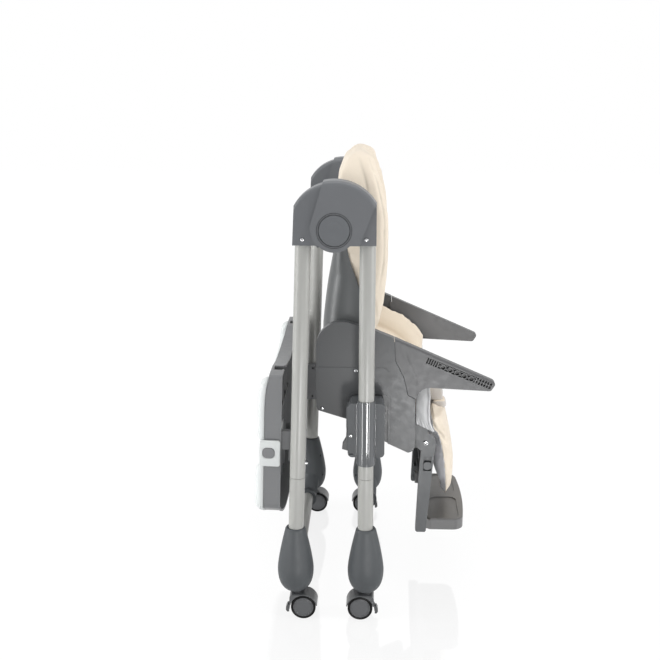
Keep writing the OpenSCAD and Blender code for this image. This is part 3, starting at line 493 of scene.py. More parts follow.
arm_plastic = coated("arm_plastic", (0.075, 0.080, 0.085), 1500, 0.42, 0.04, 0.30)
plate_plastic = coated("plate_plastic", (0.145, 0.145, 0.146), 1500, 0.36, 0.05, 0.30)
tree = plate_plastic.node_tree
warm_on_top = ranged(tree, facing_up(tree), 0.0, 1.0, 0.5, 0.95)
wire(tree, times_tone(tree, coat_of(plate_plastic), warm_on_top, (0.98, 0.93, 0.86)), base_colour(tree))
dress(["footrest_arm_left", "footrest_arm_right"], arm_plastic, 0.0010, 3)
dress(["leg_panel"], pan_plastic, 0.0008)
dress(["footplate"], plate_plastic, 0.0014, 3)
dress(["footrest_button_left", "footrest_button_right"], arm_plastic, 0.0006)

# ------------------------------------------------------------------ tray
# A grey tray moulding hung on the rear legs, with a white dishwasher insert clipped on it.

tray_plastic = coated("tray_plastic", (0.180, 0.184, 0.190), 1500, 0.40, 0.04, 0.30)
insert_plastic = coated("insert_plastic", (0.70, 0.725, 0.72), 1200, 0.42, 0.02, 0.03,
                        Specular_IOR_Level=0.25)
dress(["tray_base"], tray_plastic, 0.0008, 2)
dress(["tray_button_left", "tray_button_right", "tray_bracket_left", "tray_bracket_right"],
      tray_plastic, 0.0007)

# ------------------------------------------------------------------ cover cloth
# The washable cover is a fine beige canvas over foam, lined with a smooth silver-grey cloth.
# Its panels are sewn with run-and-fell seams that show as shallow channels.


def at_all(points):
    """Rows of millimetre points in the working frame, as metres in the shared frame."""
    return (np.asarray(points, float) - (153, 0, 0)) / 1000


def points_of(x, y, z):
    """Three coordinates, single numbers or arrays alike, as one array of points."""
    return np.stack(np.broadcast_arrays(x, y, z), -1)


def curve(where, knots, values):
    """A smooth curve through knots without overshoot: cubic between them, with each slope the
    harmonic mean of its neighbours' where they agree in sign, and level where they don't."""
    knots, values = np.asarray(knots, float), np.asarray(values, float)
    step = np.diff(knots)
    rise = np.diff(values) / step
    both = rise[1:] * rise[:-1]
    inner = np.where(both > 0, 2 * both / np.where(both > 0, rise[1:] + rise[:-1], 1), 0)
    slope = np.concatenate([[rise[0]], inner, [rise[-1]]])
    i = np.clip(np.searchsorted(knots, where, side="right") - 1, 0, len(step) - 1)
    t = (np.clip(where, knots[0], knots[-1]) - knots[i]) / step[i]
    return ((1 + 2 * t) * (1 - t) ** 2 * values[i] + t * (1 - t) ** 2 * step[i] * slope[i]
            + t * t * (3 - 2 * t) * values[i + 1] + t * t * (t - 1) * step[i] * slope[i + 1])


def rings(controls, samples):
    """Closed smooth rings through control points, given as points by levels by xyz: each level's
    ring is a Catmull-Rom spline. The result is levels by samples by xyz."""
    count = len(controls)
    t = np.linspace(0, count, samples, endpoint=False)
    i = np.floor(t).astype(int)
    f = (t - i)[:, None, None]
    a, b, c, d = (controls[(i + k) % count] for k in (-1, 0, 1, 2))
    ring = 0.5 * (2 * b + (c - a) * f + (2 * a - 5 * b + 4 * c - d) * f**2 + (3 * b - a - 3 * c + d) * f**3)
    return ring.transpose(1, 0, 2)


def half_to_ring(half):
    """Mirrors half a cross-section, from the middle of the front to the middle of the back, across
    Y = 0 into a whole ring. half is points by levels by xyz, and its ends lie on Y = 0."""
    return np.concatenate([half, (half * (1, -1, 1))[-2:0:-1]])


def ring_piece(name, rim, samples):
    """A closed piece of smooth rings through control points, with a face at either end."""
    return add_piece(name, grid_mesh(name, at_all(rings(rim, samples)), loop_columns=True,
                                     cap_first=True, cap_last=True))


def bake_modifiers(piece):
    """Applies everything in the piece's modifier stack to its mesh."""
    made = bpy.data.meshes.new_from_object(piece.evaluated_get(bpy.context.evaluated_depsgraph_get()))
    piece.modifiers.clear()
    piece.data = made


def all_smooth(piece):
    """Shades every face of the piece smooth."""
    piece.data.polygons.foreach_set("use_smooth", np.ones(len(piece.data.polygons), bool))


def swell(piece, voxel, cap, pressure=4.0):
    """Remeshes a closed shape to even quads, blows it up as cloth with no gravity, limits how far
    any point may move, and subdivides it once."""
    even = piece.modifiers.new("even", "REMESH")
    even.mode, even.voxel_size = "VOXEL", voxel
    bake_modifiers(piece)
    start = rows_of(piece.data.vertices, "co")
    cloth = piece.modifiers.new("air", "CLOTH")
    cloth.settings.use_pressure = True
    cloth.settings.uniform_pressure_force = pressure
    cloth.settings.quality = 5
    cloth.settings.mass = 0.3
    cloth.settings.bending_stiffness = 1.5
    cloth.settings.effector_weights.gravity = 0
    cloth.collision_settings.use_collision = False
    cloth.point_cache.frame_start, cloth.point_cache.frame_end = 1, 20
    for frame_number in range(1, 21):
        scene.frame_set(frame_number)
    swollen = piece.evaluated_get(bpy.context.evaluated_depsgraph_get())
    moved = rows_of(swollen.data.vertices, "co") - start
    far = np.linalg.norm(moved, axis=1, keepdims=True)
    piece.modifiers.clear()
    moved = np.nan_to_num(moved * np.minimum(1, cap / np.maximum(far, 1e-9)))
    piece.data.vertices.foreach_set("co", (start + moved).ravel())
    scene.frame_set(1)
    finer = piece.modifiers.new("finer", "SUBSURF")
    finer.levels = finer.render_levels = 1
    bake_modifiers(piece)
    all_smooth(piece)


def press(piece, line, width, depth, mask=None):
    """Pushes the surface in along a line of points, in a rounded channel of the given half width:
    each vertex moves against its normal by depth times exp(-(distance / width) squared). A
    negative depth raises a ridge. mask adds the channel to the piece's named attribute."""
    spots, ways = rows_of(piece.data.vertices, "co"), rows_of(piece.data.vertices, "normal")
    line = np.asarray(line, float)
    near = (np.abs(spots - line.mean(0)) < np.ptp(line, axis=0) / 2 + 4 * width).all(1)
    a, b = line[:-1], line[1:]
    along = b - a
    reach = spots[near][:, None] - a[None]
    t = np.clip((reach * along).sum(-1) / np.maximum((along**2).sum(-1), 1e-12), 0, 1)
    gap = np.linalg.norm(reach - t[..., None] * along, axis=-1).min(1)
    share = np.zeros(len(spots))
    share[near] = np.exp(-((gap / width) ** 2))
    piece.data.vertices.foreach_set("co", (spots - ways * (share * depth)[:, None]).ravel())
    piece.data.update()
    if mask:
        layer = piece.data.attributes.get(mask) or piece.data.attributes.new(mask, "FLOAT", "POINT")
        held = np.zeros(len(spots), np.float32)
        layer.data.foreach_get("value", held)
        layer.data.foreach_set("value", np.maximum(held, share).astype(np.float32))


def seam(piece, x, y, z, *channel):
    """Presses a channel along X, Y and Z values in working millimetres."""
    press(piece, at_all(points_of(x, y, z)), *channel)


def lay_cloth(piece):
    """Gives the piece a UV map in metres: each face is laid flat along the axis that it faces most."""
    mesh = piece.data
    loops = np.empty(len(mesh.loops), int)
    mesh.loops.foreach_get("vertex_index", loops)
    totals = np.empty(len(mesh.polygons), int)
    mesh.polygons.foreach_get("loop_total", totals)
    axis = np.repeat(np.abs(rows_of(mesh.polygons, "normal")).argmax(1), totals)
    spot = rows_of(mesh.vertices, "co")[loops]
    u = np.where(axis == 0, spot[:, 1], spot[:, 0])
    v = np.where(axis == 2, spot[:, 1], spot[:, 2])
    layer = mesh.uv_layers.get("cloth") or mesh.uv_layers.new(name="cloth")
    layer.data.foreach_set("uv", np.stack([u, v], 1).astype(np.float32).ravel())


# canvas: over-and-under threads on a UV map in metres, a soft drift of tone and a little fluff
cloth_group, given, result = field_group(
    "woven_canvas",
    [("Tone", "NodeSocketColor", (0.8, 0.7, 0.6, 1)), ("Threads", "NodeSocketFloat", 1100.0),
     ("Drift", "NodeSocketFloat", 0.03)],
    [("Color", "NodeSocketColor"), ("Height", "NodeSocketFloat"), ("Fluff", "NodeSocketFloat")])
laid = new_node(cloth_group, "ShaderNodeUVMap", uv_map="cloth").outputs[0]
scaled = scaled_by(cloth_group, laid, given.outputs["Threads"])
parts = new_node(cloth_group, "ShaderNodeSeparateXYZ")
wire(cloth_group, scaled, parts.inputs[0])
turn = new_node(cloth_group, "ShaderNodeTexChecker", Scale=1.0)
turn.inputs["Color1"].default_value, turn.inputs["Color2"].default_value = (1, 1, 1, 1), (0, 0, 0, 1)
wire(cloth_group, scaled, turn.inputs["Vector"])
weave = new_node(cloth_group, "ShaderNodeMix", data_type="FLOAT")
wire(cloth_group, turn.outputs["Fac"], weave.inputs["Factor"])
for direction, socket in (("X", "A"), ("Y", "B")):
    wave = reckon(cloth_group, "SINE", reckon(cloth_group, "MULTIPLY", parts.outputs[direction], math.pi))
    wire(cloth_group, reckon(cloth_group, "ABSOLUTE", wave), weave.inputs[socket])
where = new_node(cloth_group, "ShaderNodeTexCoord")
cloudy = new_node(cloth_group, "ShaderNodeTexNoise", Scale=11.0, Detail=4.0)
fluff = new_node(cloth_group, "ShaderNodeTexNoise", Scale=380.0, Detail=3.0)
wire(cloth_group, where.outputs["Object"], cloudy.inputs["Vector"])
wire(cloth_group, where.outputs["Object"], fluff.inputs["Vector"])
drift = drifting(cloth_group, cloudy.outputs["Fac"], given.outputs["Drift"])
gaps = ranged(cloth_group, weave.outputs[0], 0.90, 1.03)
dyed = scaled_by(cloth_group, given.outputs["Tone"], reckon(cloth_group, "MULTIPLY", drift, gaps))
wire(cloth_group, dyed, result.inputs["Color"])
wire(cloth_group, weave.outputs[0], result.inputs["Height"])
wire(cloth_group, fluff.outputs["Fac"], result.inputs["Fluff"])


def woven(name, tone, threads, drift, bump, rough):
    """A material of the shared canvas group. The piece's sewn attribute darkens its seams: painted shade in
    their channels.
    """
    seam_shade_tone = 0.80
    material, tree, body, cloth = group_material(
        name, cloth_group, {"Tone": (*tone, 1), "Threads": threads, "Drift": drift})
    sewn = new_node(tree, "ShaderNodeAttribute", attribute_name="sewn")
    darker = ranged(tree, sewn.outputs["Fac"], 1.0, seam_shade_tone)
    wire(tree, scaled_by(tree, cloth["Color"], darker), body["Base Color"])
    weave = new_node(tree, "ShaderNodeBump", Strength=bump, Distance=0.00018)
    wire(tree, cloth["Height"], weave.inputs["Height"])
    fluff = new_node(tree, "ShaderNodeBump", Strength=bump * 0.6, Distance=0.00025)
    wire(tree, cloth["Fluff"], fluff.inputs["Height"])
    wire(tree, weave.outputs[0], fluff.inputs["Normal"])
    wire(tree, fluff.outputs[0], body["Normal"])
    set_inputs(body, {"Roughness": rough, "Specular IOR Level": 0.25, "Sheen Weight": 0.18,
                      "Sheen Roughness": 0.5})
    return material


canvas = woven("beige_canvas", (0.765, 0.68, 0.565), 1150, 0.03, 0.35, 0.88)
lining_cloth = woven("silver_lining", (0.60, 0.605, 0.61), 2300, 0.04, 0.15, 0.55)
# painted light: a paler copy of the silver lining, for the calf cushion's back, which faces away from the
# lamps
lining_painted_light = woven("lining_painted_light", (0.86, 0.86, 0.89), 2300, 0.04, 0.15, 0.60)

# ------------------------------------------------------------------ back cushion
# A padded sock pulled over the back shell: two deep side wings, a middle that lies further
# back between them, and a rounded top. Two long seams run up each wing.

rise = np.concatenate([np.linspace(560, 857, 40), [858.5, 861, 866, 872, 880, 889, 897],
                       904 + 20 * np.sin(np.linspace(0, math.pi / 2, 9))])
wing = curve(rise, [560, 572, 598, 663, 727, 779, 851, 896, 915, 924],
             [155, 158, 161, 168, 173, 173, 163, 149, 140, 125])
edge = np.where(rise < 858,
                curve(rise, [560, 588, 625, 671, 730, 800, 857], [149, 146, 131, 114, 96, 92, 85]),
                curve(rise, [858, 862, 872, 888, 905, 918, 924], [84, 82, 82, 87, 94, 104, 114]))
half = np.where(rise > 845, 94 + np.sqrt(np.maximum(80**2 - (rise - 845) ** 2, 0)), 174)
half = np.where(rise < 584, 112 + np.sqrt(np.maximum(62**2 - (584 - rise) ** 2 * 4, 900)), half)
middle = curve(rise, [560, 598, 663, 727, 779, 851, 885, 905, 924],
               [136, 135, 131, 131, 131, 138, 134, 128, 118])
behind = np.where(rise < 858, middle - 24, edge)
shape = [(middle, 0), (middle, 0.42 * half), (middle + 3, half - 66), (0.5 * (middle + wing) + 2, half - 47),
         (wing - 6, half - 36), (wing, half - 22), (wing - 5, half - 7), (wing - 17, half - 1),
         (0.5 * (wing - 17 + edge), half), (edge + 7, half), (edge + 1, half - 3), (edge + 1, half - 14),
         (behind + np.where(rise < 858, 8, 1), half - 52), (behind, 0.4 * half), (behind, 0)]
rim = half_to_ring(np.array([points_of(x, y, rise) for x, y in shape]))
back_cushion = ring_piece("back_cushion", rim, 150)
swell(back_cushion, 0.005, 0.006)
for s in (-1, 1):
    up = np.linspace(566, 918, 60)
    front = curve(up, rise, wing)
    side = curve(up, rise, half)
    bow = 6 * np.sin((up - 566) / 352 * math.pi)
    seam(back_cushion, front - 25 - bow, s * (side + 3), up, 0.0030, 0.0022, "sewn")
    seam(back_cushion, front - 6, s * (side - 4), up, 0.0026, 0.0016, "sewn")
    seam(back_cushion, front - 15, s * (side + 1), up, 0.0050, -0.0014)
    seam(back_cushion, front - 34, s * (side - 44), up, 0.0040, 0.0018, "sewn")
    dive = np.linspace(0, 1, 20)
    wave = np.sin(dive * 3)
    seam(back_cushion, 96 + 36 * dive, s * (170 + 5 * wave), 906 - 96 * dive, 0.010, -0.0020)
    seam(back_cushion, 92 + 26 * dive, s * (172 + 3 * wave), 880 - 76 * dive, 0.007, 0.0016)
lay_cloth(back_cushion)
back_cushion.data.materials.append(canvas)
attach(back_cushion, "backrest")
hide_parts("back_pad")

# ------------------------------------------------------------------ seat cushion
# The same canvas over foam: a sitting part that slopes to the front and two raised side
# wings, each with a curved outline and creases that fan out from the armrest.

run = np.concatenate([np.linspace(86, 254, 34), np.linspace(257, 272, 9), np.linspace(275, 289, 6),
                      289 + 6 * np.sin(np.linspace(0, math.pi / 2, 5))[1:]])
floor_line = np.where(run < 266, 465.6 - (run - 84) * 0.4364, 386.8)
sit = curve(run, [86, 92, 110, 262, 272, 283, 291, 295], [484, 490, 491, 423, 417, 412, 404, 397])
crest = curve(run, [86, 98, 112, 128, 160, 190, 215, 238, 254, 264, 269, 274, 295],
              [500, 524, 542, 552, 553, 541, 528, 511, 492, 468, 440, 416, 397])
crest = np.maximum(crest, sit + 0.5)
tall = np.clip((crest - sit) / 60, 0, 1)
shape = [(0, sit), (62, sit - 1), (112, sit), (138, sit + 2 + 8 * tall), (147, sit + 22 * tall),
         (149, crest - 22 * tall), (151.5, crest - 7 * tall), (159, crest), (166.5, crest - 7 * tall),
         (169, crest - 24 * tall), (169, 0.5 * (crest + floor_line)), (168, floor_line + 6),
         (160, floor_line), (90, floor_line), (0, floor_line)]
pull = np.where(run > 266, 1 - 0.10 * ((run - 266) / 29) ** 2, 1)
front = np.where(run > 261, 261 + (run - 261) * 0.10, run)
rim = half_to_ring(np.array([points_of(front, y * pull, z) for y, z in shape]))
seat_cushion = ring_piece("seat_cushion", rim, 130)
swell(seat_cushion, 0.005, 0.005)
spots = rows_of(seat_cushion.data.vertices, "co")
spots[:, 0] += (0.0032 * np.clip((spots[:, 0] - 0.085) / 0.02, 0, 1)
                * np.clip((spots[:, 2] - 0.430) / 0.02, 0, 1)
                * np.clip((np.abs(spots[:, 1]) - 0.10) / 0.03, 0, 1))
seat_cushion.data.vertices.foreach_set("co", spots.ravel())
for s in (-1, 1):
    fan = np.linspace(0, 1, 16)
    for start, end, deep in (((188, 542), (206, 452), 0.0034), ((214, 532), (208, 452), -0.0022),
                             ((238, 514), (210, 448), 0.0032), ((260, 478), (214, 440), -0.0020),
                             ((164, 552), (200, 462), 0.0024), ((140, 552), (186, 470), -0.0020)):
        seam(seat_cushion, start[0] + (end[0] - start[0]) * fan, s * (161 + 8 * np.minimum(1, fan * 3)),
             start[1] + (end[1] - start[1]) * fan, 0.0036, deep)
    brink = np.linspace(96, 264, 60)
    seam(seat_cushion, brink, s * 152, curve(brink, run, crest) - 3, 0.0028, 0.0016, "sewn")
    seam(seat_cushion, brink, s * 143, curve(brink, run, sit) + 4, 0.0040, 0.0022, "sewn")
ahead = np.linspace(100, 284, 30)
for across in (-60, 60):
    seam(seat_cushion, ahead, across, curve(ahead, run, sit), 0.0045, 0.0030, "sewn")
lay_cloth(seat_cushion)
seat_cushion.data.materials.append(canvas)
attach(seat_cushion, "seat")
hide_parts("seat_pad")

# ------------------------------------------------------------------ calf cushion
# The cover runs on over the seat's front edge and hangs before the footrest as a padded
# tongue with a round end. Its back is the silver lining.

drop = np.concatenate([169 + 11 * (1 - np.cos(np.linspace(0, math.pi / 2, 9)))[:-1],
                       np.linspace(180, 394, 44), [398, 401, 403]])
front = curve(drop, [166, 172, 190, 214, 258, 285, 320, 354, 380, 396, 403],
              [305, 309, 314, 318, 319, 316, 310, 304, 299, 293, 285])
rear = curve(drop, [166, 178, 208, 265, 320, 347, 364, 392, 403],
             [306, 304, 302, 297, 288, 279, 269, 267, 273])


def tongue(height):
    """Half the tongue's width: 122 above 284, and a circle of radius 117 about that height below."""
    return np.where(height < 284, 5 + np.sqrt(np.maximum(117**2 - (284 - height) ** 2, 16)), 122)


half = tongue(drop)
thick = front - rear
sag = 16 * np.clip(1 - ((drop - 288) / 74) ** 2, 0, 1)
shape = [(front, 0), (front - 1, 0.35 * half), (front - 0.16 * thick - 2, 0.72 * half),
         (front - 0.3 * thick - 4, 0.90 * half), (rear + 0.36 * thick, 0.985 * half),
         (rear + 0.10 * thick, half), (rear, 0.94 * half), (rear - sag, 0.6 * half), (rear - sag, 0)]
rim = half_to_ring(np.array([points_of(x, y, drop) for x, y in shape]))
rim[..., 2] -= np.clip((rim[..., 2] - 300) / 103, 0, 1) ** 2 * (31 - 0.09 * np.abs(rim[..., 1]))
calf_cushion = ring_piece("calf_cushion", rim, 100)
swell(calf_cushion, 0.0045, 0.005)
turn = np.linspace(0, 1, 40)
for s in (-1, 1):
    for start, end, deep in (((272, -121, 396), (300, -112, 352), 0.0032),
                             ((268, -122, 378), (300, -112, 334), -0.0022),
                             ((274, -122, 362), (306, -108, 318), 0.0026),
                             ((284, -121, 338), (314, -100, 282), -0.0020),
                             ((290, -119, 300), (318, -90, 250), 0.0020)):
        path = np.array(start) + np.outer(turn, np.array(end) - np.array(start))
        press(calf_cushion, at_all(path * (1, -s, 1)), 0.0045, deep)
up = np.linspace(180, 392, 50)
for s in (-1, 1):
    seam(calf_cushion, curve(up, drop, rear) + 3.5, s * (tongue(up) + 1), up, 0.0026, 0.0018, "sewn")
lay_cloth(calf_cushion)
calf_cushion.data.materials.append(canvas)
# the back gets the paler copy of the lining, as painted light
calf_cushion.data.materials.append(lining_painted_light)
centre = rows_of(calf_cushion.data.polygons, "center") * 1000 + (153, 0, 0)
facing = rows_of(calf_cushion.data.polygons, "normal")
lined = (centre[:, 0] < curve(centre[:, 2], drop, rear) + 3.5) & (facing[:, 0] < 0.2)
calf_cushion.data.polygons.foreach_set("material_index", lined.astype(int))
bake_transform(calf_cushion)
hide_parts("leg_pad")

# ------------------------------------------------------------------ back shell
# A thin moulded bucket behind the back cushion: a rear wall that turns into two side walls
# through broad corners, with ears below for the recline pivots.

across = np.concatenate([np.linspace(0, 0.34, 12), np.linspace(0.36, 0.62, 14), np.linspace(0.66, 1, 8)])
ear_x = np.interp(across, [0, 0.34, 0.62], [144, 92, 49])
low = np.interp(ear_x, [49, 52, 57, 64, 72, 80, 88, 94, 99, 102, 106, 116, 128, 144],
                [556, 549, 542.5, 538, 535.6, 535, 536, 538.6, 545, 556, 566, 571.5, 575.5, 578])
climb = np.concatenate([[0, 0.012], np.linspace(0.03, 0.97, 52), [0.985, 0.994, 1]])
height = low + climb[:, None] * (901 - low)
level = np.maximum(height, 578)
x_rear = curve(level, [578, 592, 664, 729, 800, 859, 905], [47.6, 48.6, 57, 68.6, 79.5, 88, 97.4])
x_front = curve(level, [578, 588, 625, 671, 716, 740, 810, 870, 902, 905],
                [144, 147, 132, 116, 101, 96.5, 98, 104, 107, 107])
wide = 171.6 - np.where(level > 830, 75 - np.sqrt(np.maximum(75**2 - (level - 830) ** 2, 0)), 0)
bend = np.minimum(45, 0.86 * (x_front - x_rear))
side_t = np.clip(across / 0.34, 0, 1)
turn = np.clip((across - 0.34) / 0.28, 0, 1) * math.pi / 2
rear_t = np.clip((across - 0.62) / 0.38, 0, 1)
x = x_front + (x_rear + bend - x_front) * side_t - bend * np.sin(turn)
y = (wide - bend * (1 - np.cos(turn))) * (1 - rear_t)
half = points_of(x, y, height)
wall = np.concatenate([half, (half * (1, -1, 1))[:, -2::-1]], 1)
back_bucket = add_piece("back_bucket", grid_mesh("back_bucket", at_all(wall)))
facing = rows_of(back_bucket.data.polygons, "normal")
middle_x = rows_of(back_bucket.data.polygons, "center")
outward = (facing * (middle_x - at(130, 0, 700)) * (1, 1, 0)).sum() > 0
gauge = back_bucket.modifiers.new("gauge", "SOLIDIFY")
gauge.thickness, gauge.offset = 0.004, -1.0 if outward else 1.0
gauge.use_even_offset = True
rim = back_bucket.modifiers.new("rim", "BEVEL")
rim.width, rim.segments, rim.limit_method, rim.angle_limit = 0.0011, 3, "ANGLE", math.radians(50)
bake_modifiers(back_bucket)
all_smooth(back_bucket)
back_bucket.data.materials.append(coated("bucket_plastic", (0.085, 0.090, 0.092), 1500, 0.34, 0.05, 0.30))
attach(back_bucket, "backrest")
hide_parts("back_shell")

# ------------------------------------------------------------------ tray insert
# A white moulded liner with a soft rolled rim that fades out at its ends, and a clip on each
# side that reaches over the grey tray and frames its push button.


def lean(points):
    """Rows of points drawn along the rear legs, turned with them into the working frame."""
    points = np.asarray(points, float)
    tip = math.radians(1.738)
    return np.stack([-0.2 + points[..., 0] * math.cos(tip) + points[..., 2] * math.sin(tip), points[..., 1],
                     203 - points[..., 0] * math.sin(tip) + points[..., 2] * math.cos(tip)], -1)


def arc(centre, radius, start, end, steps):
    """Points along a circle about a centre, between two angles in degrees."""
    angle = np.radians(np.linspace(start, end, steps))
    return np.stack([centre[0] + radius * np.cos(angle), centre[1] + radius * np.sin(angle)], -1)


def liner_edge(inset):
    """The liner's outline as Y and height, an inset smaller all round: bow, low corner, side, the
    horn beside the neck, a fillet, and the neck that goes round the child."""
    low = (227, 400 - math.sqrt(432**2 - 227**2))
    low_a = math.degrees(math.atan2(low[1] - 400, low[0]))
    fillet_z = 1732 - math.sqrt(1480**2 - 186**2)
    fillet_a = math.degrees(math.atan2(fillet_z - 1732, 186))
    side_z = np.linspace(low[1], 271, 30)[1:-1]
    right = np.concatenate([
        arc((0, 400), 450 - inset, -90, low_a, 26)[:-1], arc(low, 18 - inset, low_a, 0, 12),
        np.stack([245 - inset + 0 * side_z, side_z], -1), arc((228, 271), 17 - inset, 0, 90, 10),
        arc((223, 271), 17 - inset, 90, 180, 10), arc((186, fillet_z), 20 + inset, 0, fillet_a, 8),
        arc((0, 1732), 1500 + inset, fillet_a, -90, 16)[1:]])
    return np.concatenate([right, (right * (-1, 1))[-2:0:-1]])


roll = [(11, 0.01), (2.2, 0.01), (0.7, 0.09), (0.1, 0.25), (0.2, 0.45), (1.5, 0.66), (3.9, 0.84), (7.0, 0.96),
        (10.2, 1.0), (13.0, 0.94), (14.9, 0.80), (15.6, 0.63), (15.9, 0.47), (16.0, 0.36)]
shell = []
for inset, share in roll:
    outline = liner_edge(inset)
    face = curve(outline[:, 1], [-60, 225, 256, 273, 287, 300], [-67.2, -67.2, -65.8, -63.8, -61.0, -59.6])
    front = curve(outline[:, 1], [-60, 0, 60, 110, 130, 245, 262, 276, 286, 292],
                  [-80.0, -83.0, -83.8, -83.2, -81.6, -80.6, -79.4, -77.4, -73.8, -70.5])
    depth = face + (front - face) * share
    clip_zone = np.clip((30.5 - np.abs(outline[:, 1] - 139.5)) / 3.5, 0, 1) * (np.abs(outline[:, 0]) > 222)
    depth = np.maximum(depth, -90 + (90 - 75.8) * clip_zone)
    # room behind the pressed push button
    dent = 2.4 * np.clip((17 - np.abs(outline[:, 1] - 140.6)) / 4, 0, 1) * (np.abs(outline[:, 0]) > 236)
    shell.append(np.stack([depth, outline[:, 0] - np.sign(outline[:, 0]) * dent, outline[:, 1]], -1))
inner = shell[-1]
heart = np.array([-71.6, 0, 150])
for share in (0.985, 0.96):
    floor_ring = heart + (inner - heart) * (1, share, share)
    floor_ring[:, 0] = -71.6
    shell.append(floor_ring)
liner = grid_mesh("liner", at_all(lean(np.array(shell))), loop_columns=True, cap_first=True, cap_last=True)


def ring_plate(outer, inner, y0, y1, soften, side):
    """A flat ring between two loops of X and height, from y0 to y1, with its edges rounded over:
    four profile rings on the outer loop and four on the inner one, joined round."""
    away = outer - outer.mean(0)
    away /= np.linalg.norm(away, axis=1, keepdims=True)
    rows = []
    for loop, sign in ((outer, -1), (inner, 1)):
        steps = [(soften, y0), (0, y0 + soften), (0, y1 - soften), (soften, y1)]
        for pull, y in (steps if sign < 0 else steps[::-1]):
            rows.append(np.column_stack([loop[:, 0] + sign * away[:, 0] * pull, np.full(len(loop), side * y),
                                         loop[:, 1] + sign * away[:, 1] * pull]))
    return np.array(rows)


def round_box(x0, z0, x1, z1, radius, steps=8):
    """A rectangle's loop with rounded corners."""
    return np.concatenate([arc(centre, radius, start, start + 90, steps) for centre, start in (
        ((x1 - radius, z1 - radius), 0), ((x0 + radius, z1 - radius), 90),
        ((x0 + radius, z0 + radius), 180), ((x1 - radius, z0 + radius), 270))])


joined = bmesh.new()
joined.from_mesh(liner)
for s in (-1, 1):
    clip = ring_plate(round_box(-76, 113, -35.5, 166.5, 4), round_box(-70.2, 129.8, -45.8, 151.4, 8.6),
                      245.3, 249.6, 0.8, s)
    joined.from_mesh(grid_mesh("clip", at_all(lean(clip)), loop_rows=True, loop_columns=True))
    for low, high in ((113, 126), (155, 166.5)):
        root = ring_plate(round_box(-76, low, -67.3, high, 2), round_box(-73, low + 3, -70, high - 3, 1),
                          236, 246, 0.8, s)
        joined.from_mesh(grid_mesh("root", at_all(lean(root)), loop_rows=True, loop_columns=True))
joined.to_mesh(liner)
joined.free()
liner_tray = add_piece("liner_tray", liner)
liner_tray.data.materials.append(insert_plastic)
keep = liner_tray.modifiers.new("shading", "WEIGHTED_NORMAL")
keep.weight = 60
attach(liner_tray, "tray_insert")
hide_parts("tray_insert")

# ------------------------------------------------------------------ screws
# Zinc plated pan-head screws with a cross recess, in the hubs, the side panels, the sliders
# and the footrest hinges.


def screw_heads(name, spots, body, replaced):
    """Domed heads on faces that look along Y. Over a disc of radius R the height is
    top * (1 - (r / R)^3)^0.5, less the cross: a well along each arm whose depth goes down to
    zero over a soft edge."""
    mesh = bmesh.new()
    for x, y, z, radius, twist in spots:
        share = np.concatenate([[0.02], np.linspace(0.06, 0.72, 14), [0.80, 0.87, 0.93, 0.97, 0.993, 1]])
        angle = np.linspace(0, 2 * math.pi, 64, endpoint=False)
        r, a = np.meshgrid(share, angle, indexing="ij")
        top = 0.52 * radius * np.sqrt(np.maximum(1 - r**3, 0))
        u = radius * r * np.cos(a + twist)
        v = radius * r * np.sin(a + twist)
        arm = 0.15 * radius
        gap = np.minimum(np.abs(u), np.abs(v)) - arm
        well = np.clip(-gap / (0.10 * radius) + 0.5, 0, 1) * np.clip((0.66 - r) / 0.10, 0, 1)
        rise = top - 0.42 * radius * well
        side = math.copysign(1, y)
        grid = np.stack([x + radius * r * np.cos(a), y + side * rise, z + radius * r * np.sin(a)], -1)
        skirt = grid[-1] * (1, 0, 1) + (0, y - side * 0.5, 0)
        rows = np.concatenate([skirt[None], grid[::-1]])
        mesh.from_mesh(grid_mesh("head", at_all(rows), loop_columns=True, cap_last=True))
    data = bpy.data.meshes.new(name)
    mesh.to_mesh(data)
    mesh.free()
    piece = add_piece(name, data)
    piece.data.materials.append(plated)
    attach(piece, body)
    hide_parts(replaced)


# painted reflection: the plated domes and pins are darkened most where they face up, for a dark room above,
# and least where they face sideways or down, for the pale floor below
tree = plated.node_tree
grey = new_node(tree, "ShaderNodeMix", data_type="RGBA")
grey.inputs["A"].default_value, grey.inputs["B"].default_value = (0.14, 0.145, 0.15, 1), (1, 1, 1, 1)
wire(tree, ranged(tree, facing_up(tree), 0.0, 1.0, 0.22, -0.04), grey.inputs["Factor"])
shade = new_node(tree, "ShaderNodeMix", data_type="RGBA", blend_type="MULTIPLY", Factor=1.0)
wire(tree, coat_of(plated), shade.inputs["A"])
wire(tree, grey.outputs["Result"], shade.inputs["B"])
wire(tree, shade.outputs["Result"], base_colour(tree))

both = (-1, 1)
screw_heads("front_hub_heads", [(133.6, s * 276.6, 771.7, 3.8, 0.5) for s in both],
            "front_frame", "front_hub_screws")
screw_heads("rear_hub_heads", [(16.8, s * 275.6, 771, 3.8, 0.1) for s in both],
            "rear_frame", "rear_hub_screws")
screw_heads("panel_heads", [(x, s * y, z, 3.8, t) for s in both for x, y, z, t in (
    (49, 198, 422, 0.2), (114.6, 198, 500.6, 0.6), (107, 262, 389, 0.1))], "seat", "panel_screws")
screw_heads("footrest_heads", [(258, s * 146, 333, 5.8, 0.3) for s in both], "seat", "footrest_screws")

# ------------------------------------------------------------------ crotch belt
# A band of grey satin webbing comes down over the middle of the seat's front edge and ends in
# a folded tab, whose top is canvas.

satin = woven("grey_satin", (0.52, 0.49, 0.46), 2600, 0.03, 0.12, 0.42)


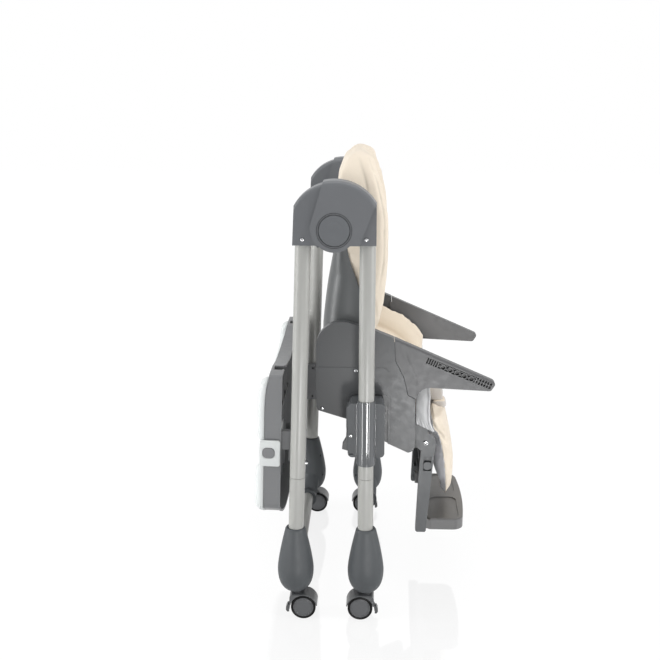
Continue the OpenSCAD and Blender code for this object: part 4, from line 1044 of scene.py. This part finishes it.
def roll_of(centre, half_x, half_y, half_z, power, tilt=0.0):
    """A closed cushion-like roll across Y: superellipse rings in X and height about a centre in
    millimetres, which shrink to nothing at both ends along another superellipse."""
    across = np.sin(np.linspace(-math.pi / 2, math.pi / 2, 33))
    turn = np.linspace(0, 2 * math.pi, 48, endpoint=False)
    shrink = np.maximum(1 - np.abs(across) ** 5, 0.0) ** 0.5
    cos, sin = np.cos(turn), np.sin(turn)
    x = half_x * np.sign(cos) * np.abs(cos) ** (2 / power)
    z = half_z * np.sign(sin) * np.abs(sin) ** (2 / power)
    shrink, x = np.meshgrid(shrink, x, indexing="ij")
    z = np.broadcast_to(z, x.shape)
    y = np.broadcast_to((across * half_y)[:, None], x.shape)
    return np.stack([centre[0] + x * shrink * math.cos(tilt) - z * shrink * math.sin(tilt), centre[1] + y,
                     centre[2] + x * shrink * math.sin(tilt) + z * shrink * math.cos(tilt)], -1)


band_z = np.linspace(432, 382, 30)
front = curve(band_z[::-1], [372, 384, 396, 406, 416, 424, 432],
              [298.0, 299.4, 299.4, 298.4, 295.6, 290.0, 276.0])[::-1]
back = curve(band_z[::-1], [372, 400, 432], [272.0, 258.0, 254.0])[::-1]
loop = [(0, 0), (0, 0.5), (0.02, 0.9), (0.10, 1.0), (0.5, 1.02), (0.88, 1.0), (0.985, 0.86), (1, 0.5)]
loop += [(a, -b) for a, b in loop[::-1][:-1]]
band = np.array([points_of(back + (front - back) * a, 15 * b, band_z) for a, b in loop]).transpose(1, 0, 2)
belt = grid_mesh("belt", at_all(band), loop_columns=True, cap_first=True, cap_last=True)
more = bmesh.new()
more.from_mesh(belt)
tab = at_all(roll_of((291.6, 0, 372.6), 15.6, 24, 10.4, 2.8, 0.05))
more.from_mesh(grid_mesh("tab", tab, loop_columns=True))
more.to_mesh(belt)
more.free()
crotch_belt = add_piece("crotch_belt", belt)
for s in (-1, 1):
    press(crotch_belt, at_all([(306.4, s * 17, 366), (303, s * 9, 364.6), (292, s * 4, 363.4)]),
          0.0022, 0.0012)
    press(crotch_belt, at_all([(298, s * 12.6, 414), (300.6, s * 12.6, 384)]), 0.0007, 0.0004, "sewn")
lay_cloth(crotch_belt)
crotch_belt.data.materials.append(satin)
crotch_belt.data.materials.append(canvas)
faces = crotch_belt.data.polygons
on_top = (rows_of(faces, "normal")[:, 2] > 0.80) & (rows_of(faces, "center")[:, 2] < 0.385)
crotch_belt.data.polygons.foreach_set("material_index", on_top.astype(int))
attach(crotch_belt, "seat")
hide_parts("crotch_strap")

# ------------------------------------------------------------------ seat skirts
# On each side the cover's thin silver lining hangs over the pan's edge, below the armrest. It
# turns inwards in front, with a standing fold, and puckers along its slanting hem.

low_edge = [(232, 387.5), (237, 386), (248.5, 380), (261.7, 371), (270, 367.5), (275, 366.5)]
for name, s in (("seat_skirt_right", -1), ("seat_skirt_left", 1)):
    along, down = np.meshgrid(np.linspace(0, 1, 70), np.linspace(0, 1, 60), indexing="ij")
    reach = np.interp(along, [0, 0.30, 0.62, 0.76, 0.86, 0.93, 1], [0, 0.36, 0.74, 0.88, 0.97, 1.0, 0.95])
    tuck = curve(along, [0, 0.10, 0.45, 0.68, 0.80, 0.88, 0.94, 1], [-1.2, 0.2, 1.6, 0.2, 1.4, -0.4, -5, -14])
    hem = np.interp(234.6 + 30 * reach, [p[0] for p in low_edge], [p[1] for p in low_edge])
    z = 466 + (hem - 466) * down
    right_edge = curve(z, [360, 367, 383, 402, 418, 441, 462], [275, 273.5, 265.8, 262.4, 262.0, 262.9, 261])
    x = 234.6 + (right_edge - 234.6) * reach
    near_hem = np.exp(-((z - hem) / 11) ** 2)
    ripple = 0.5 * np.sin(along * 21 + 0.6) + 0.4 * np.sin(along * 43 + 2.1 + z * 0.3)
    pucker = near_hem * ripple + 0.5 * np.sin(along * 9 + z * 0.11) * np.sin(z * 0.06)
    out = curve(z, [360, 425, 440, 452, 466], [182.4, 182.6, 180.6, 176.5, 173.0])
    y = out + tuck + pucker * (along < 0.93)
    cloth_grid = points_of(x, s * y, z)
    skirt = add_piece(name, grid_mesh(name, at_all(cloth_grid)))
    gauge = skirt.modifiers.new("gauge", "SOLIDIFY")
    gauge.thickness, gauge.offset = 0.0008, 0
    bake_modifiers(skirt)
    all_smooth(skirt)
    lay_cloth(skirt)
    skirt.data.materials.append(lining_cloth)
    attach(skirt, "seat")

# ------------------------------------------------------------------ lumbar flap
# The back of the cover runs on below the cushion and goes over into the seat, so no gap
# opens between them.

drop = np.linspace(494, 580, 30)
front = curve(drop, [494, 505, 520, 545, 580], [104, 110, 117, 126, 131])
half = curve(drop, [494, 510, 545, 580], [134, 138, 132, 122])
thick = curve(drop, [494, 502, 560, 580], [8, 15, 19, 14])
shape = [(front, 0), (front, 0.5 * half), (front - 1, 0.86 * half), (front - 0.3 * thick, half),
         (front - 0.7 * thick, half), (front - thick, 0.88 * half), (front - thick, 0.5 * half),
         (front - thick, 0)]
rim = half_to_ring(np.array([points_of(x, y, drop) for x, y in shape]))
lumbar_flap = ring_piece("lumbar_flap", rim, 90)
for y in (-60, 0, 60):
    press(lumbar_flap, at_all([(130, y, 578), (118, y, 522), (108, y, 500)]), 0.005, 0.0022, "sewn")
press(lumbar_flap, at_all([(112, -120, 508), (114, 0, 512), (112, 120, 508)]), 0.006, 0.0018)
lay_cloth(lumbar_flap)
lumbar_flap.data.materials.append(canvas)
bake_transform(lumbar_flap)
